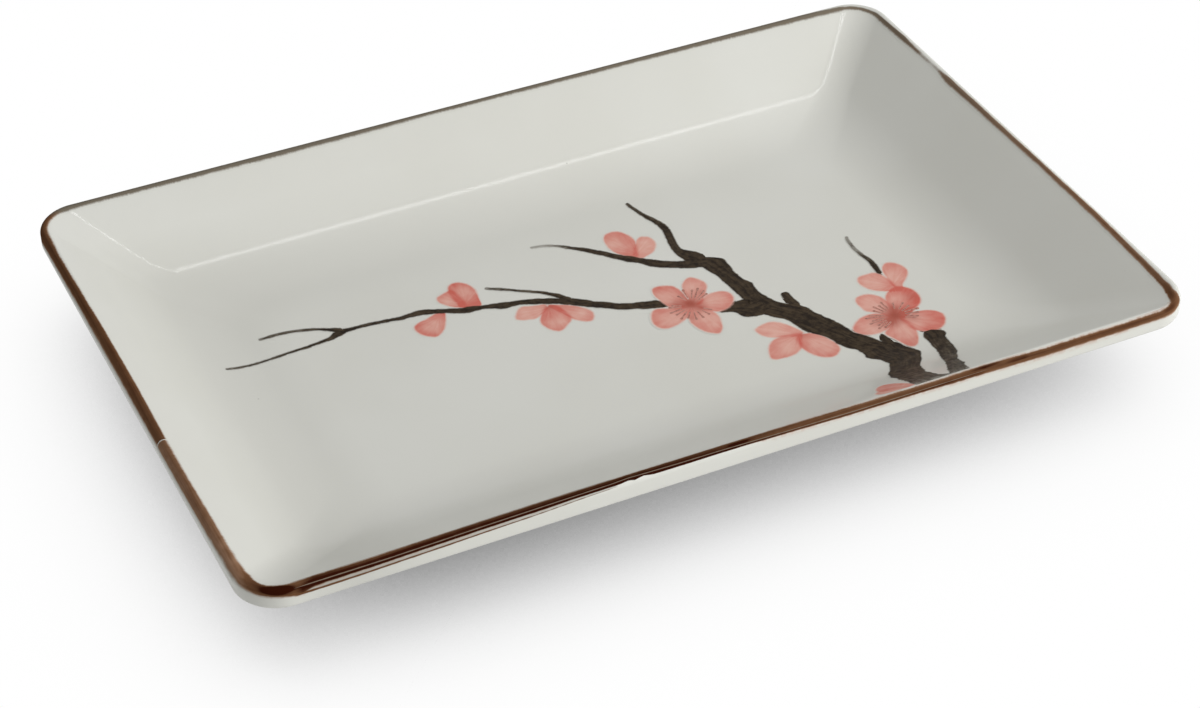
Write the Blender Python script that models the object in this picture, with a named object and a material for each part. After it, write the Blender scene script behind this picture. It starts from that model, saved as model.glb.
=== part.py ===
"""Rectangular sushi plate in glazed porcelain with a painted lip and a painted blossoming branch.

Metres, +Z up. The origin is the middle of the plate at table height, X runs along the length
and Y along the width. Insets are measured inwards from the outer face of the rim.
"""

import math

import bmesh
import bpy

MM = 0.001

# Overall size
LENGTH = 210 * MM
WIDTH = 137 * MM
HEIGHT = 25 * MM

# Section of the dish
LIP_RADIUS = 1.25 * MM
WALL_SLOPE = math.radians(33.7)
WALL_THICKNESS = 4.6 * MM
WALL_REACH = 16.4 * MM
FLOOR_FILLET = 31 * MM
EDGE_ROUNDING = 1.2 * MM

# Plan corners
RIM_CORNER = 9 * MM
WALL_CORNER = 6 * MM
FLOOR_CORNER = 9 * MM
FOOT_CORNER = 12 * MM

# Standing ring under the floor
FOOT_INSET = 30 * MM
FOOT_TOP_WIDTH = 6.8 * MM
FOOT_TAPER = 1.2 * MM
FOOT_ROUNDING = 0.8 * MM

# Painted coats
SEAT_GAP = 0.3 * MM
COAT_THICKNESS = 0.3 * MM
LINE_REACH = 0.3 * MM
LINE_BREAK = 0.6 * MM
LINE_BREAK_PLACE = -17.5 * MM

# Fineness of the round stretches
CORNER_STEPS = 8
ARC_STEPS = 7
EDGE_STEPS = 3
FOOT_STEPS = 2
STROKE_STEPS = 2
PETAL_STEPS = 32
PETAL_RINGS = 1

# Finishes: linear colour and roughness
GLAZE = ((0.72, 0.72, 0.68), 0.12)
BARE_PORCELAIN = ((0.66, 0.63, 0.56), 0.75)
BROWN_ENAMEL = ((0.085, 0.035, 0.018), 0.22)
DARK_ENAMEL = ((0.022, 0.017, 0.012), 0.35)
PINK_ENAMEL = ((0.60, 0.22, 0.17), 0.25)

# Brush strokes of the branch, root to tip: x, y and width in millimetres
STROKES = {
    "trunk": (
        (42.0, -64.6, 7.2), (43.3, -58.6, 6.6), (47.2, -49.6, 7.0), (49.3, -41.9, 6.8),
        (47.6, -36.3, 7.2), (45.2, -31.7, 5.8), (42.2, -26.1, 5.4), (39.2, -20.1, 5.6),
        (35.6, -14.6, 5.4), (32.7, -9.1, 4.6), (31.5, -3.1, 4.0), (30.8, 3.0, 4.2), (29.6, 7.4, 4.6),
    ),
    "second_stem": (
        (48.9, -64.3, 4.6), (51.6, -58.3, 4.8), (56.5, -49.7, 4.6), (59.3, -43.5, 4.2), (60.7, -38.4, 4.8),
    ),
    "top_twig": (
        (27.4, 10.5, 3.2), (25.6, 14.0, 2.4), (26.3, 19.6, 2.0), (25.0, 25.3, 1.6), (23.7, 30.1, 1.2),
        (23.1, 34.2, 0.8),
    ),
    "upper_limb": (
        (25.4, 7.2, 2.8), (20.4, 10.0, 2.2), (16.2, 13.6, 2.0), (12.3, 17.2, 1.9), (8.8, 21.3, 1.8),
        (4.4, 26.3, 1.4), (0.4, 27.8, 1.0), (-3.3, 28.2, 0.8),
    ),
    "limb_root": ((29.7, -12.1, 4.0), (27.0, -11.5, 2.8), (25.3, -10.9, 1.8)),
    "long_limb": (
        (12.5, -2.6, 2.2), (6.6, -0.8, 2.6), (1.6, 2.0, 2.6), (-2.1, 5.0, 2.6), (-5.9, 7.7, 2.5),
        (-10.9, 10.0, 2.2), (-20.9, 13.0, 1.9), (-27.4, 14.1, 2.0), (-33.3, 16.0, 1.7), (-38.8, 16.9, 1.4),
        (-45.8, 17.6, 1.3), (-52.3, 18.0, 2.0), (-55.8, 16.8, 1.5), (-61.9, 16.3, 1.0), (-70.7, 15.8, 0.8),
        (-80.1, 15.2, 0.6),
    ),
    "fork_twig": ((-55.0, 19.8, 1.3), (-59.6, 22.0, 1.2), (-64.4, 23.1, 1.0), (-69.4, 23.2, 0.7)),
    "spur_twig": ((-5.9, 10.6, 1.2), (-8.4, 12.2, 1.5), (-13.4, 16.0, 1.2), (-18.3, 18.9, 0.9)),
    "right_twig": ((61.4, -11.6, 1.4), (61.7, -8.7, 1.3), (61.3, -3.6, 1.1), (60.9, 1.1, 0.7)),
}

# Blossoms: centre x and y in millimetres, then petals as direction in degrees, length and width
BLOSSOMS = {
    "open_blossom": (
        (18.9, -6.2),
        ((113, 9.6, 7.2), (65, 9.4, 7.2), (-3, 9.2, 7.0), (-88, 10.8, 7.4), (192, 10.0, 7.4)),
    ),
    "right_blossom": (
        (56.2, -28.3),
        ((181, 8.6, 6.6), (108, 9.6, 7.0), (38, 10.4, 8.6), (-25, 11.0, 7.4), (-90, 10.4, 6.2)),
    ),
    "right_pair": ((60.7, -18.2), ((139, 6.4, 5.2), (52, 8.0, 5.8))),
    "trunk_trio": ((35.2, -25.1), ((150, 9.0, 5.2), (207, 10.6, 6.6), (-74, 9.8, 6.4))),
    "limb_trio": ((-9.1, 5.5), ((184, 8.6, 6.0), (-102, 7.4, 6.4), (-55, 8.6, 6.2))),
    "upper_bud": ((-24.1, 16.5), ((92, 8.2, 6.6), (144, 6.6, 5.0))),
    "lower_bud": ((-32.4, 12.8), ((228, 6.8, 5.6), (193, 6.4, 4.8))),
    "upper_pair": ((17.0, 17.3), ((108, 10.0, 6.4), (18, 6.2, 5.4))),
    "rim_petals": ((36.5, -63.7), ((104, 7.6, 5.0), (166, 6.6, 5.2))),
}

# Sizes that follow from the section
SLOPE_SIN = math.sin(WALL_SLOPE)
SLOPE_COS = math.cos(WALL_SLOPE)
WALL_TOP_INSET = LIP_RADIUS * (1 + SLOPE_SIN)
WALL_TOP_HEIGHT = HEIGHT - LIP_RADIUS * (1 - SLOPE_COS)
WALL_END_HEIGHT = WALL_TOP_HEIGHT - (WALL_REACH - WALL_TOP_INSET) * math.tan(WALL_SLOPE)
FLOOR_INSET = WALL_REACH + FLOOR_FILLET * SLOPE_SIN
FLOOR_HEIGHT = WALL_END_HEIGHT - FLOOR_FILLET * (1 - SLOPE_COS)
UNDERSIDE_HEIGHT = FLOOR_HEIGHT - WALL_THICKNESS


def clear_scene():
    for item in list(bpy.data.objects):
        bpy.data.objects.remove(item, do_unlink=True)


def make_finish(name, finish):
    """Principled material from a linear colour and a roughness."""
    colour, roughness = finish
    material = bpy.data.materials.new(name)
    material.use_nodes = True
    shader = material.node_tree.nodes["Principled BSDF"]
    shader.inputs["Base Color"].default_value = (*colour, 1.0)
    shader.inputs["Roughness"].default_value = roughness
    shader.inputs["Metallic"].default_value = 0.0
    material.diffuse_color = (*colour, 1.0)
    return material


def finish_object(name, bm, material, parent, place=(0.0, 0.0, 0.0)):
    """Turn a bmesh into a named, smooth-shaded object at its place."""
    bmesh.ops.recalc_face_normals(bm, faces=bm.faces)
    mesh = bpy.data.meshes.new(name)
    bm.to_mesh(mesh)
    bm.free()
    mesh.materials.append(material)
    item = bpy.data.objects.new(name, mesh)
    item.location = place
    item.parent = parent
    bpy.context.collection.objects.link(item)
    mesh.shade_smooth()
    return item


def arc(centre, radius, start, end, steps):
    """Points of a section arc; angles are measured from the inward direction up to the vertical."""
    points = []
    for step in range(steps + 1):
        angle = start + (end - start) * step / steps
        points.append((centre[0] + radius * math.cos(angle), centre[1] + radius * math.sin(angle)))
    return points


def inner_height(inset):
    """Height of the glazed inside at an inset."""
    if inset < WALL_REACH:
        return WALL_TOP_HEIGHT - (inset - WALL_TOP_INSET) * math.tan(WALL_SLOPE)
    run = max(FLOOR_INSET - inset, 0.0)
    return FLOOR_HEIGHT + FLOOR_FILLET - math.sqrt(FLOOR_FILLET**2 - run**2)


def glaze_height(x, y):
    """Height of the glazed inside at a place on the plate, away from its corners."""
    return inner_height(min(LENGTH / 2 - abs(x), WIDTH / 2 - abs(y)))


def inner_corner(inset):
    """Plan corner radius of the inside: tight down the wall, wider again at the floor."""
    if inset < WALL_TOP_INSET:
        return RIM_CORNER - inset
    if inset < WALL_REACH:
        start, end, share = RIM_CORNER - WALL_TOP_INSET, WALL_CORNER, (inset - WALL_TOP_INSET)
        return start + (end - start) * share / (WALL_REACH - WALL_TOP_INSET)
    share = (inset - WALL_REACH) / (FLOOR_INSET - WALL_REACH)
    return WALL_CORNER + (FLOOR_CORNER - WALL_CORNER) * share


def corner_points(corner, inset, height, radius):
    """Arc of one plan corner, counted anticlockwise from the back right one."""
    side_x = 1 if corner in (0, 3) else -1
    side_y = 1 if corner in (0, 1) else -1
    centre_x = side_x * (LENGTH / 2 - inset - radius)
    centre_y = side_y * (WIDTH / 2 - inset - radius)
    points = []
    for step in range(CORNER_STEPS + 1):
        angle = math.pi / 2 * (corner + step / CORNER_STEPS)
        points.append((centre_x + radius * math.cos(angle), centre_y + radius * math.sin(angle), height))
    return points


def plan_ring(inset, height, radius):
    """Rounded rectangle at an inset from the outer face."""
    points = []
    for corner in range(4):
        points.extend(corner_points(corner, inset, height, radius))
    return points


def broken_ring(inset, height, radius):
    """The same outline, opened at the brush's start and end on the left side."""
    left = -(LENGTH / 2 - inset)
    points = [(left, LINE_BREAK_PLACE - LINE_BREAK / 2, height)]
    for corner in (2, 3, 0, 1):
        points.extend(corner_points(corner, inset, height, radius))
    points.append((left, LINE_BREAK_PLACE + LINE_BREAK / 2, height))
    return points


def skin(bm, outlines, closed_outlines=True, closed_row=False):
    """Quads between neighbouring outlines of a row; returns the rows of vertices."""
    rows = [[bm.verts.new(point) for point in outline] for outline in outlines]
    row_pairs = list(zip(rows, rows[1:]))
    if closed_row:
        row_pairs.append((rows[-1], rows[0]))
    for first, second in row_pairs:
        sides = list(zip(first, second))
        side_pairs = list(zip(sides, sides[1:]))
        if closed_outlines:
            side_pairs.append((sides[-1], sides[0]))
        for (a, b), (d, c) in side_pairs:
            bm.faces.new((a, b, c, d))
    return rows


def lip_curve(depth, reach):
    """Section of the lip moved into the body by a depth, with a straight reach at both ends."""
    start = (
        WALL_TOP_INSET + reach * SLOPE_COS - depth * SLOPE_SIN,
        WALL_TOP_HEIGHT - reach * SLOPE_SIN - depth * SLOPE_COS,
    )
    crown = arc(
        (LIP_RADIUS, HEIGHT - LIP_RADIUS), LIP_RADIUS - depth, math.pi / 2 - WALL_SLOPE, math.pi, ARC_STEPS
    )
    return [start] + crown + [(depth, HEIGHT - LIP_RADIUS - reach)]


def outer_section():
    """Outside of the dish from the edge's rounding down to the underside."""
    to_wall = EDGE_ROUNDING - WALL_THICKNESS - (EDGE_ROUNDING - WALL_TOP_INSET) * SLOPE_SIN
    centre = (EDGE_ROUNDING, WALL_TOP_HEIGHT + to_wall / SLOPE_COS)
    edge = arc(centre, EDGE_ROUNDING, math.pi, 1.5 * math.pi - WALL_SLOPE, EDGE_STEPS)
    fillet_centre = (FLOOR_INSET, FLOOR_HEIGHT + FLOOR_FILLET)
    fillet = arc(
        fillet_centre, FLOOR_FILLET + WALL_THICKNESS, 1.5 * math.pi - WALL_SLOPE, 1.5 * math.pi, ARC_STEPS
    )
    return edge + fillet


def make_dish(material, parent):
    """Moulded body: flat floor, curved fillet, sloping wall, seat under the painted line, outside."""
    rings = []
    for step in range(ARC_STEPS + 1):
        angle = WALL_SLOPE * step / ARC_STEPS
        inset = FLOOR_INSET - FLOOR_FILLET * math.sin(angle)
        rings.append((inset, inner_height(inset), inner_corner(inset)))
    seat_reach = LINE_REACH + SEAT_GAP
    shoulder = lip_curve(0.0, seat_reach)
    inset, height = shoulder[0]
    rings.append((inset, height, inner_corner(inset)))
    for inset, height in lip_curve(COAT_THICKNESS + SEAT_GAP, seat_reach):
        rings.append((inset, height, RIM_CORNER - inset))
    inset, height = shoulder[-1]
    rings.append((inset, height, RIM_CORNER))
    for inset, height in outer_section():
        rings.append((inset, height, RIM_CORNER))

    bm = bmesh.new()
    rows = skin(bm, [plan_ring(*ring) for ring in rings])
    bm.faces.new(rows[0])
    bm.faces.new(rows[-1])
    return finish_object("dish", bm, material, parent)


def make_foot_ring(material, parent):
    """Tapered standing ring with a rounded, unglazed standing edge."""
    top = UNDERSIDE_HEIGHT - SEAT_GAP
    outer = FOOT_INSET + FOOT_TAPER
    inner = FOOT_INSET + FOOT_TOP_WIDTH - FOOT_TAPER
    half_turn = math.pi / 2
    section = [(FOOT_INSET, top)]
    section += arc((outer + FOOT_ROUNDING, FOOT_ROUNDING), FOOT_ROUNDING, math.pi, 3 * half_turn, FOOT_STEPS)
    section += arc((inner - FOOT_ROUNDING, FOOT_ROUNDING), FOOT_ROUNDING, 3 * half_turn, 4 * half_turn, FOOT_STEPS)
    section.append((FOOT_INSET + FOOT_TOP_WIDTH, top))

    bm = bmesh.new()
    rings = [plan_ring(inset, height, FOOT_CORNER + FOOT_INSET - inset) for inset, height in section]
    skin(bm, rings, closed_row=True)
    return finish_object("foot_ring", bm, material, parent)


def make_rim_line(material, parent):
    """Brown coat over the lip, laid in one round of the brush with a small break on the left."""
    section = lip_curve(0.0, LINE_REACH) + lip_curve(COAT_THICKNESS, LINE_REACH)[::-1]
    bm = bmesh.new()
    lines = [broken_ring(inset, height, RIM_CORNER - inset) for inset, height in section]
    rows = skin(bm, lines, closed_outlines=False, closed_row=True)
    bm.faces.new([row[0] for row in rows])
    bm.faces.new([row[-1] for row in rows])
    return finish_object("rim_line", bm, material, parent)


def coat_object(name, bm, material, parent, place):
    """Lay a flat sheet of paint over the glaze, with the seat gap below it, and give it its thickness."""
    for vert in bm.verts:
        vert.co.z = glaze_height(place[0] + vert.co.x, place[1] + vert.co.y) + SEAT_GAP - place[2]
    sheet = finish_object(name, bm, material, parent, place)
    if sheet.data.polygons[0].normal.z < 0:
        sheet.data.flip_normals()
    coat = sheet.modifiers.new("coat", "SOLIDIFY")
    coat.thickness = COAT_THICKNESS
    coat.offset = 1.0
    return sheet


def smooth_path(path):
    """Catmull-Rom points through a stroke's hand-set points."""
    ends = [path[0]] + list(path) + [path[-1]]
    points = []
    for before, start, end, after in zip(ends, ends[1:], ends[2:], ends[3:]):
        for step in range(STROKE_STEPS):
            t = step / STROKE_STEPS
            point = []
            for a, b, c, d in zip(before, start, end, after):
                curve = 2 * b + (c - a) * t + (2 * a - 5 * b + 4 * c - d) * t**2 + (3 * b - a - 3 * c + d) * t**3
                point.append(curve / 2 * MM)
            points.append(point)
    points.append([value * MM for value in path[-1]])
    return points


def make_stroke(name, path, material, parent):
    """Brush stroke that follows the glaze, as a strip between its two edges."""
    points = smooth_path(path)
    place = (points[0][0], points[0][1], glaze_height(points[0][0], points[0][1]))
    edges = ([], [])
    for index, (x, y, width) in enumerate(points):
        before = points[max(index - 1, 0)]
        after = points[min(index + 1, len(points) - 1)]
        run = math.hypot(after[0] - before[0], after[1] - before[1])
        across = (-(after[1] - before[1]) / run, (after[0] - before[0]) / run)
        for side, edge in zip((0.5, -0.5), edges):
            reach = side * width
            edge.append((x + reach * across[0] - place[0], y + reach * across[1] - place[1], 0.0))
    bm = bmesh.new()
    skin(bm, edges, closed_outlines=False)
    return coat_object(name, bm, material, parent, place)


def petal_reach(angle, petal):
    """Distance from the blossom's centre to an oval petal's edge along an angle, zero beside it."""
    direction, length, width = petal
    turn = angle - math.radians(direction)
    half_length = 0.54 * length
    middle = length - half_length
    along = math.cos(turn) / half_length
    across = math.sin(turn) / (width / 2)
    squared = along**2 + across**2
    lean = along * middle / half_length
    return (lean + math.sqrt(lean**2 - squared * ((middle / half_length) ** 2 - 1))) / squared


def make_blossom(name, centre, petals, material, parent):
    """Overlapping petals as one outline round the blossom's centre."""
    place = (centre[0] * MM, centre[1] * MM, glaze_height(centre[0] * MM, centre[1] * MM))
    bm = bmesh.new()
    outline = []
    for step in range(PETAL_STEPS):
        angle = 2 * math.pi * step / PETAL_STEPS
        reach = max(petal_reach(angle, petal) for petal in petals) * MM
        outline.append(bm.verts.new((reach * math.cos(angle), reach * math.sin(angle), 0.0)))
    middle = bmesh.ops.poke(bm, faces=[bm.faces.new(outline)])["verts"][0]
    middle.co = (0.0, 0.0, 0.0)
    bmesh.ops.subdivide_edges(bm, edges=middle.link_edges, cuts=PETAL_RINGS)
    return coat_object(name, bm, material, parent, place)


def main():
    clear_scene()
    plate = bpy.data.objects.new("plate_origin", None)
    bpy.context.collection.objects.link(plate)
    make_dish(make_finish("white_glaze", GLAZE), plate)
    make_foot_ring(make_finish("bare_porcelain", BARE_PORCELAIN), plate)
    make_rim_line(make_finish("brown_enamel", BROWN_ENAMEL), plate)
    dark = make_finish("dark_enamel", DARK_ENAMEL)
    for name, path in STROKES.items():
        make_stroke(name, path, dark, plate)
    pink = make_finish("pink_enamel", PINK_ENAMEL)
    for name, (centre, petals) in BLOSSOMS.items():
        make_blossom(name, centre, petals, pink, plate)


main()
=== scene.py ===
"""Porcelain sushi plate: glazed dish, standing ring, brushed lip line and a painted blossoming branch."""

import math
from collections import namedtuple

import bmesh
import bpy
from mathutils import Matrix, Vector, kdtree, noise


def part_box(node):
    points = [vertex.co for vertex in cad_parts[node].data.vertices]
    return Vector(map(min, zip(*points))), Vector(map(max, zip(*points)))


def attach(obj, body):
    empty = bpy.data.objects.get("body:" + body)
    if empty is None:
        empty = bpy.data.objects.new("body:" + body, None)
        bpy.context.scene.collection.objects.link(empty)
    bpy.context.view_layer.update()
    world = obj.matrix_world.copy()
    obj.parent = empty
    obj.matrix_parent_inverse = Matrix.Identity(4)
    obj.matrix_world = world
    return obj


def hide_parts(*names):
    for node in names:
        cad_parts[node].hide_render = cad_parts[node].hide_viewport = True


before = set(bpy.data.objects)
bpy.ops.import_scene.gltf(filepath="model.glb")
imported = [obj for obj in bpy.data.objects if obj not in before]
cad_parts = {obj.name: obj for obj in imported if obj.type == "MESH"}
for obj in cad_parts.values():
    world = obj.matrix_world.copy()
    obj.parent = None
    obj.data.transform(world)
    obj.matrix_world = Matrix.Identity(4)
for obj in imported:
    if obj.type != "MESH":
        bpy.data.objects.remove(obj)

bl_info = {
    "name": "Painted sushi plate",
    "version": (1, 0, 0),
    "blender": (4, 5, 0),
    "location": "View3D > Sidebar > Plate",
    "description": "Builds a glazed rectangular plate with a painted branch and sets it on a pale floor",
    "category": "Object",
}

MM = 0.001
TURN = 2 * math.pi
RIGHT = math.pi / 2
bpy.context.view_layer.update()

# Outer sizes of the bare dish, from the frame, less the coat of the lip line
LINE_LIFT = 0.012 * MM
LINE_COAT = 0.012 * MM
DISH_LOW, DISH_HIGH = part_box("dish")
HALF_LENGTH = (DISH_HIGH.x - DISH_LOW.x) / 2 - LINE_LIFT - LINE_COAT
HALF_WIDTH = (DISH_HIGH.y - DISH_LOW.y) / 2 - LINE_LIFT - LINE_COAT
RIM_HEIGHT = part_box("rim_line")[1].z - LINE_LIFT - LINE_COAT
FOOT_INSET = HALF_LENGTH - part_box("foot_ring")[1].x

# Sheets of paint start at this height and drop onto the glaze
DROP_HEIGHT = 2 * RIM_HEIGHT

# Standing ring: its flare at the underside, how deep it is buried there and the height of its bare edge
FOOT_FLARE = 1.2 * MM
FOOT_BURY = 0.15 * MM
BARE_HEIGHT = 1.3 * MM

# Fineness of the meshes
CORNER_SEGMENTS = 20
FILLET_RINGS = 24
WALL_RINGS = 4
LIP_RINGS = 16
EDGE_RINGS = 6
PETAL_SPOKES = 224
PETAL_RINGS = 44
FEWEST_ROWS = 6
LINE_ROWS = 28
STROKE_PITCH = 0.30 * MM
LINE_PITCH = 0.7 * MM
OUTLINE_STEPS = 6
TURN_STEPS = 360
SMOOTH_ANGLE = math.radians(40)

# Coats of paint in millimetres above the glaze: washes under the branch, the branch, washes over it, stamens.
# Each further wash or stroke lies a coat step higher. The stubs of a stroke lie a sheet step lower one after
# another, and the stamens of a blossom a sheet step higher.
UNDER_LIFT = 0.004
STROKE_LIFT = 0.020
OVER_LIFT = 0.036
STAMEN_LIFT = 0.052
COAT_STEP = 0.0012
SHEET_STEP = 0.0004
PAINT_COAT = 0.002 * MM

# Soft margins round the paint in millimetres
LINE_MARGIN = 0.1
STROKE_MARGIN = 0.15
STAMEN_MARGIN = 0.05
PETAL_MARGIN = 0.36

# Edges in margins: how far in a stroke heeds the others, and over how much bark and stamens fade out
HEED_MARGINS = 4
BARK_MARGINS = 2.4
STAMEN_MARGINS = 3.0

# Pink wash in millimetres: smallest reach of a blossom and of a petal, widest reach of a petal, how far its
# edge fades inwards and outwards, and the way from its palest place over which it grows full
SMALL_REACH = 0.4
SMALLEST_EDGE = 0.01
WIDEST_PETAL = 12.0
FADE_IN = 0.65
FADE_OUT = 0.38
FULL_AFTER = 5.0

# Pink wash as shares: where a petal's edge starts to fill and how much that counts, depth when pale and when
# full, and how many times its own strength a heart covers
EDGE_START = 0.30
EDGE_SHARE = 0.2
PALE_DEPTH = 0.31
FULL_DEPTH = 0.74
HEART_COVER = 1.6

# How far in from a stroke's edge, in millimetres, the ground under a petal is fully dark
BARK_EDGE = 0.35

# Uneven edges of a stroke: waves per millimetre, share of the width, least swing in millimetres,
# change from one side of the stroke to the other and layer of the noise
STROKE_EDGES = ((0.45, 0.03, 0.10, 7.0, 0.0), (1.6, 0.012, 0.05, 3.0, 5.0))

# Rounding of a stroke's tip as shares of its width: how far outside the tip it starts, and its length
TIP_START = 0.12
TIP_LENGTH = 0.45

# A stamen's width in millimetres at shares of its length, and the most that it bends, in degrees
STAMEN_WIDTHS = ((0.0, 0.26), (0.35, 0.35), (0.7, 0.33), (0.86, 0.56), (1.0, 0.46))
STAMEN_BEND = 9.0

# Steps in the noise from one stroke of the branch to the next, and from one stamen to the next
STROKE_SEED = 11.0
STAMEN_SEED = 3.7

# Place on the left side where the lip line starts and stops
BREAK_PLACE = -17.5 * MM

# How far past its edges the line's film reaches, as a share of their softness
LINE_OVERRUN = 0.25

# Wandering of the line's inner and outer edge: swing in millimetres, waves per millimetre and seed
INNER_DRIFT = (0.10, 0.09, 2.0)
OUTER_DRIFT = (0.06, 0.12, 6.0)

# Lengths along the line, in millimetres, over which it turns greyer on the far side and then brown again
GREY_FROM = (285.0, 400.0)
GREY_UNTIL = (590.0, 594.0)

# Constant gloss of the glaze
GLAZE_GLOSS = {
    "IOR": 1.5,
    "Specular IOR Level": 0.25,
    "Coat Weight": 0.22,
    "Coat Roughness": 0.08,
    "Coat IOR": 1.5,
}

# The plate's shade on the table: its reach, how fast it fades, its fineness, and its strength from left to
# right as two stretches of the table's length, each with the strength at either end
SHADE_REACH = 55 * MM
SHADE_FADE = 2.45
SHADE_SAMPLES = 16
LEFT_SHADE = (-120 * MM, -85 * MM, 1.6, 1.05)
RIGHT_SHADE = (-85 * MM, 30 * MM, 1.0, 0.87)

# Stage, in metres: the table, the two lamps and the nearest that the camera sees. Its sensor is in
# millimetres.
TABLE_SIZE = 8
KEY_PLACE = (0.770, -0.800, 0.680)
KEY_SIZE = (0.9, 0.9)
STRIP_PLACE = (0.305, -0.012, 1.0)
STRIP_SIZE = (0.59, 0.046)
STRIP_TURN = math.radians(-6.5)
SENSOR_MM = 36
NEAREST_SEEN = 0.01

# The camera looks at the middle of the rim, a little below its crown
AIM_DROP = 0.25 * MM

# The four plan corners, back right first, anticlockwise
CORNERS = ((1, 1), (-1, 1), (-1, -1), (1, -1))

# The brown lip line in millimetres, from its break on the left side anticlockwise: length so far, inner and
# outer edge across the lip, how softly each edge ends, strength of the ink and where across the band it
# gathers. Across the lip, 0 is the top of the inner wall, 0.7 the crown and 2.7 the start of the outer face.
LIP_LINE = (
    (0, -0.15, 3.6, 1.0, 1.7, 0.46, 0.22),
    (10, -0.15, 3.5, 0.9, 1.6, 0.48, 0.22),
    (20, -0.4, 3.4, 0.9, 1.6, 0.48, 0.24),
    (30, -0.6, 3.2, 1.0, 1.7, 0.44, 0.26),
    (32, -0.7, 3.1, 1.1, 1.7, 0.46, 0.27),
    (34, -0.8, 3.0, 1.2, 1.7, 0.32, 0.28),
    (36, -0.9, 2.9, 1.3, 1.6, 0.46, 0.29),
    (39, -1.1, 2.8, 1.4, 1.5, 0.36, 0.31),
    (44, -1.8, 2.6, 1.1, 1.3, 0.50, 0.38),
    (50, 0.1, 3.2, 0.8, 1.0, 0.90, 0.40),
    (53, 0.0, 3.4, 0.9, 1.0, 0.90, 0.45),
    (57, 0.4, 3.7, 0.4, 0.4, 0.70, 0.50),
    (60, 0.2, 2.8, 0.5, 0.5, 1.05, 0.45),
    (62, 0.25, 2.65, 0.5, 0.4, 1.05, 0.48),
    (72, 0.35, 2.5, 0.5, 0.25, 1.02, 0.55),
    (85, -0.3, 2.2, 0.9, 0.2, 1.02, 0.62),
    (95, -0.9, 2.0, 1.2, 0.2, 1.00, 0.74),
    (105, -1.3, 1.9, 1.2, 0.15, 1.02, 0.76),
    (115, -1.5, 1.75, 1.2, 0.15, 1.02, 0.78),
    (123, -1.5, 1.7, 1.2, 0.12, 1.05, 0.78),
    (125, -1.5, 1.45, 1.2, 0.08, 1.05, 0.78),
    (126, -1.5, 1.75, 1.2, 0.08, 1.05, 0.78),
    (128, -1.5, 1.4, 1.2, 0.08, 1.05, 0.78),
    (130, -1.4, 1.75, 1.2, 0.12, 1.00, 0.76),
    (135, -1.3, 1.85, 1.2, 0.15, 0.98, 0.76),
    (145, -1.1, 1.85, 1.2, 0.15, 0.90, 0.78),
    (151, -0.7, 1.9, 1.0, 0.15, 0.80, 0.70),
    (160, -0.2, 2.1, 0.9, 0.2, 0.72, 0.55),
    (175, 0.5, 2.45, 0.4, 0.25, 0.68, 0.50),
    (190, 0.7, 2.5, 0.35, 0.3, 0.66, 0.50),
    (205, 0.7, 2.9, 0.4, 0.5, 0.72, 0.50),
    (220, 1.2, 3.25, 0.4, 0.5, 0.74, 0.40),
    (240, 1.2, 3.25, 0.5, 0.6, 0.72, 0.45),
    (248, 1.0, 3.2, 0.6, 0.6, 0.70, 0.40),
    (252, 0.3, 3.1, 0.8, 0.6, 0.66, 0.35),
    (255, -1.0, 2.4, 0.6, 0.6, 0.68, 0.40),
    (258, -1.7, 0.6, 0.5, 0.6, 0.68, 0.40),
    (262, -1.6, 0.15, 0.6, 0.4, 0.54, 0.45),
    (270, -1.1, 0.45, 0.5, 0.4, 0.44, 0.50),
    (290, -0.7, 1.0, 0.7, 0.4, 0.42, 0.60),
    (310, -0.6, 0.85, 0.8, 0.3, 0.40, 0.60),
    (330, -0.8, 0.8, 0.8, 0.4, 0.42, 0.60),
    (350, -1.1, 0.8, 0.8, 0.5, 0.36, 0.50),
    (353, -0.6, 0.6, 0.9, 0.8, 0.25, 0.50),
    (356, -0.3, 0.45, 0.9, 0.8, 0.20, 0.50),
    (361, -0.5, 0.5, 0.9, 0.8, 0.30, 0.50),
    (370, -1.0, 0.7, 0.8, 0.4, 0.50, 0.60),
    (385, -1.2, 0.2, 0.9, 0.4, 0.38, 0.60),
    (393, -0.9, 0.5, 0.9, 0.6, 0.30, 0.60),
    (400, -0.9, 1.2, 1.0, 0.8, 0.30, 0.60),
    (412, -0.7, 2.2, 0.9, 0.8, 0.36, 0.60),
    (440, -0.5, 2.6, 0.8, 0.6, 0.40, 0.60),
    (462, -0.4, 2.2, 0.8, 0.7, 0.40, 0.60),
    (480, -0.35, 2.0, 0.8, 0.5, 0.42, 0.60),
    (500, -0.2, 2.0, 0.8, 0.6, 0.40, 0.60),
    (520, -0.55, 1.7, 0.9, 0.5, 0.46, 0.60),
    (540, -0.65, 1.6, 0.9, 0.5, 0.50, 0.60),
    (560, -0.5, 1.8, 0.8, 0.7, 0.48, 0.55),
    (580, -0.45, 1.7, 0.9, 0.6, 0.46, 0.60),
    (585, -0.5, 1.7, 0.8, 0.4, 0.54, 0.60),
    (589, -0.6, 2.8, 0.8, 0.6, 0.60, 0.60),
    (592, -0.3, 4.2, 0.8, 0.8, 0.66, 0.55),
    (602, 0.2, 4.3, 0.8, 1.2, 0.70, 0.40),
    (610, 0.6, 4.1, 0.6, 1.5, 0.70, 0.34),
    (625, 0.25, 3.7, 0.6, 1.7, 0.72, 0.30),
    (640, -0.1, 3.5, 0.6, 1.7, 0.72, 0.30),
    (660, -0.35, 3.4, 0.6, 1.6, 0.72, 0.34),
    (679, -0.1, 3.4, 0.7, 1.5, 0.66, 0.34),
)

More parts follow.
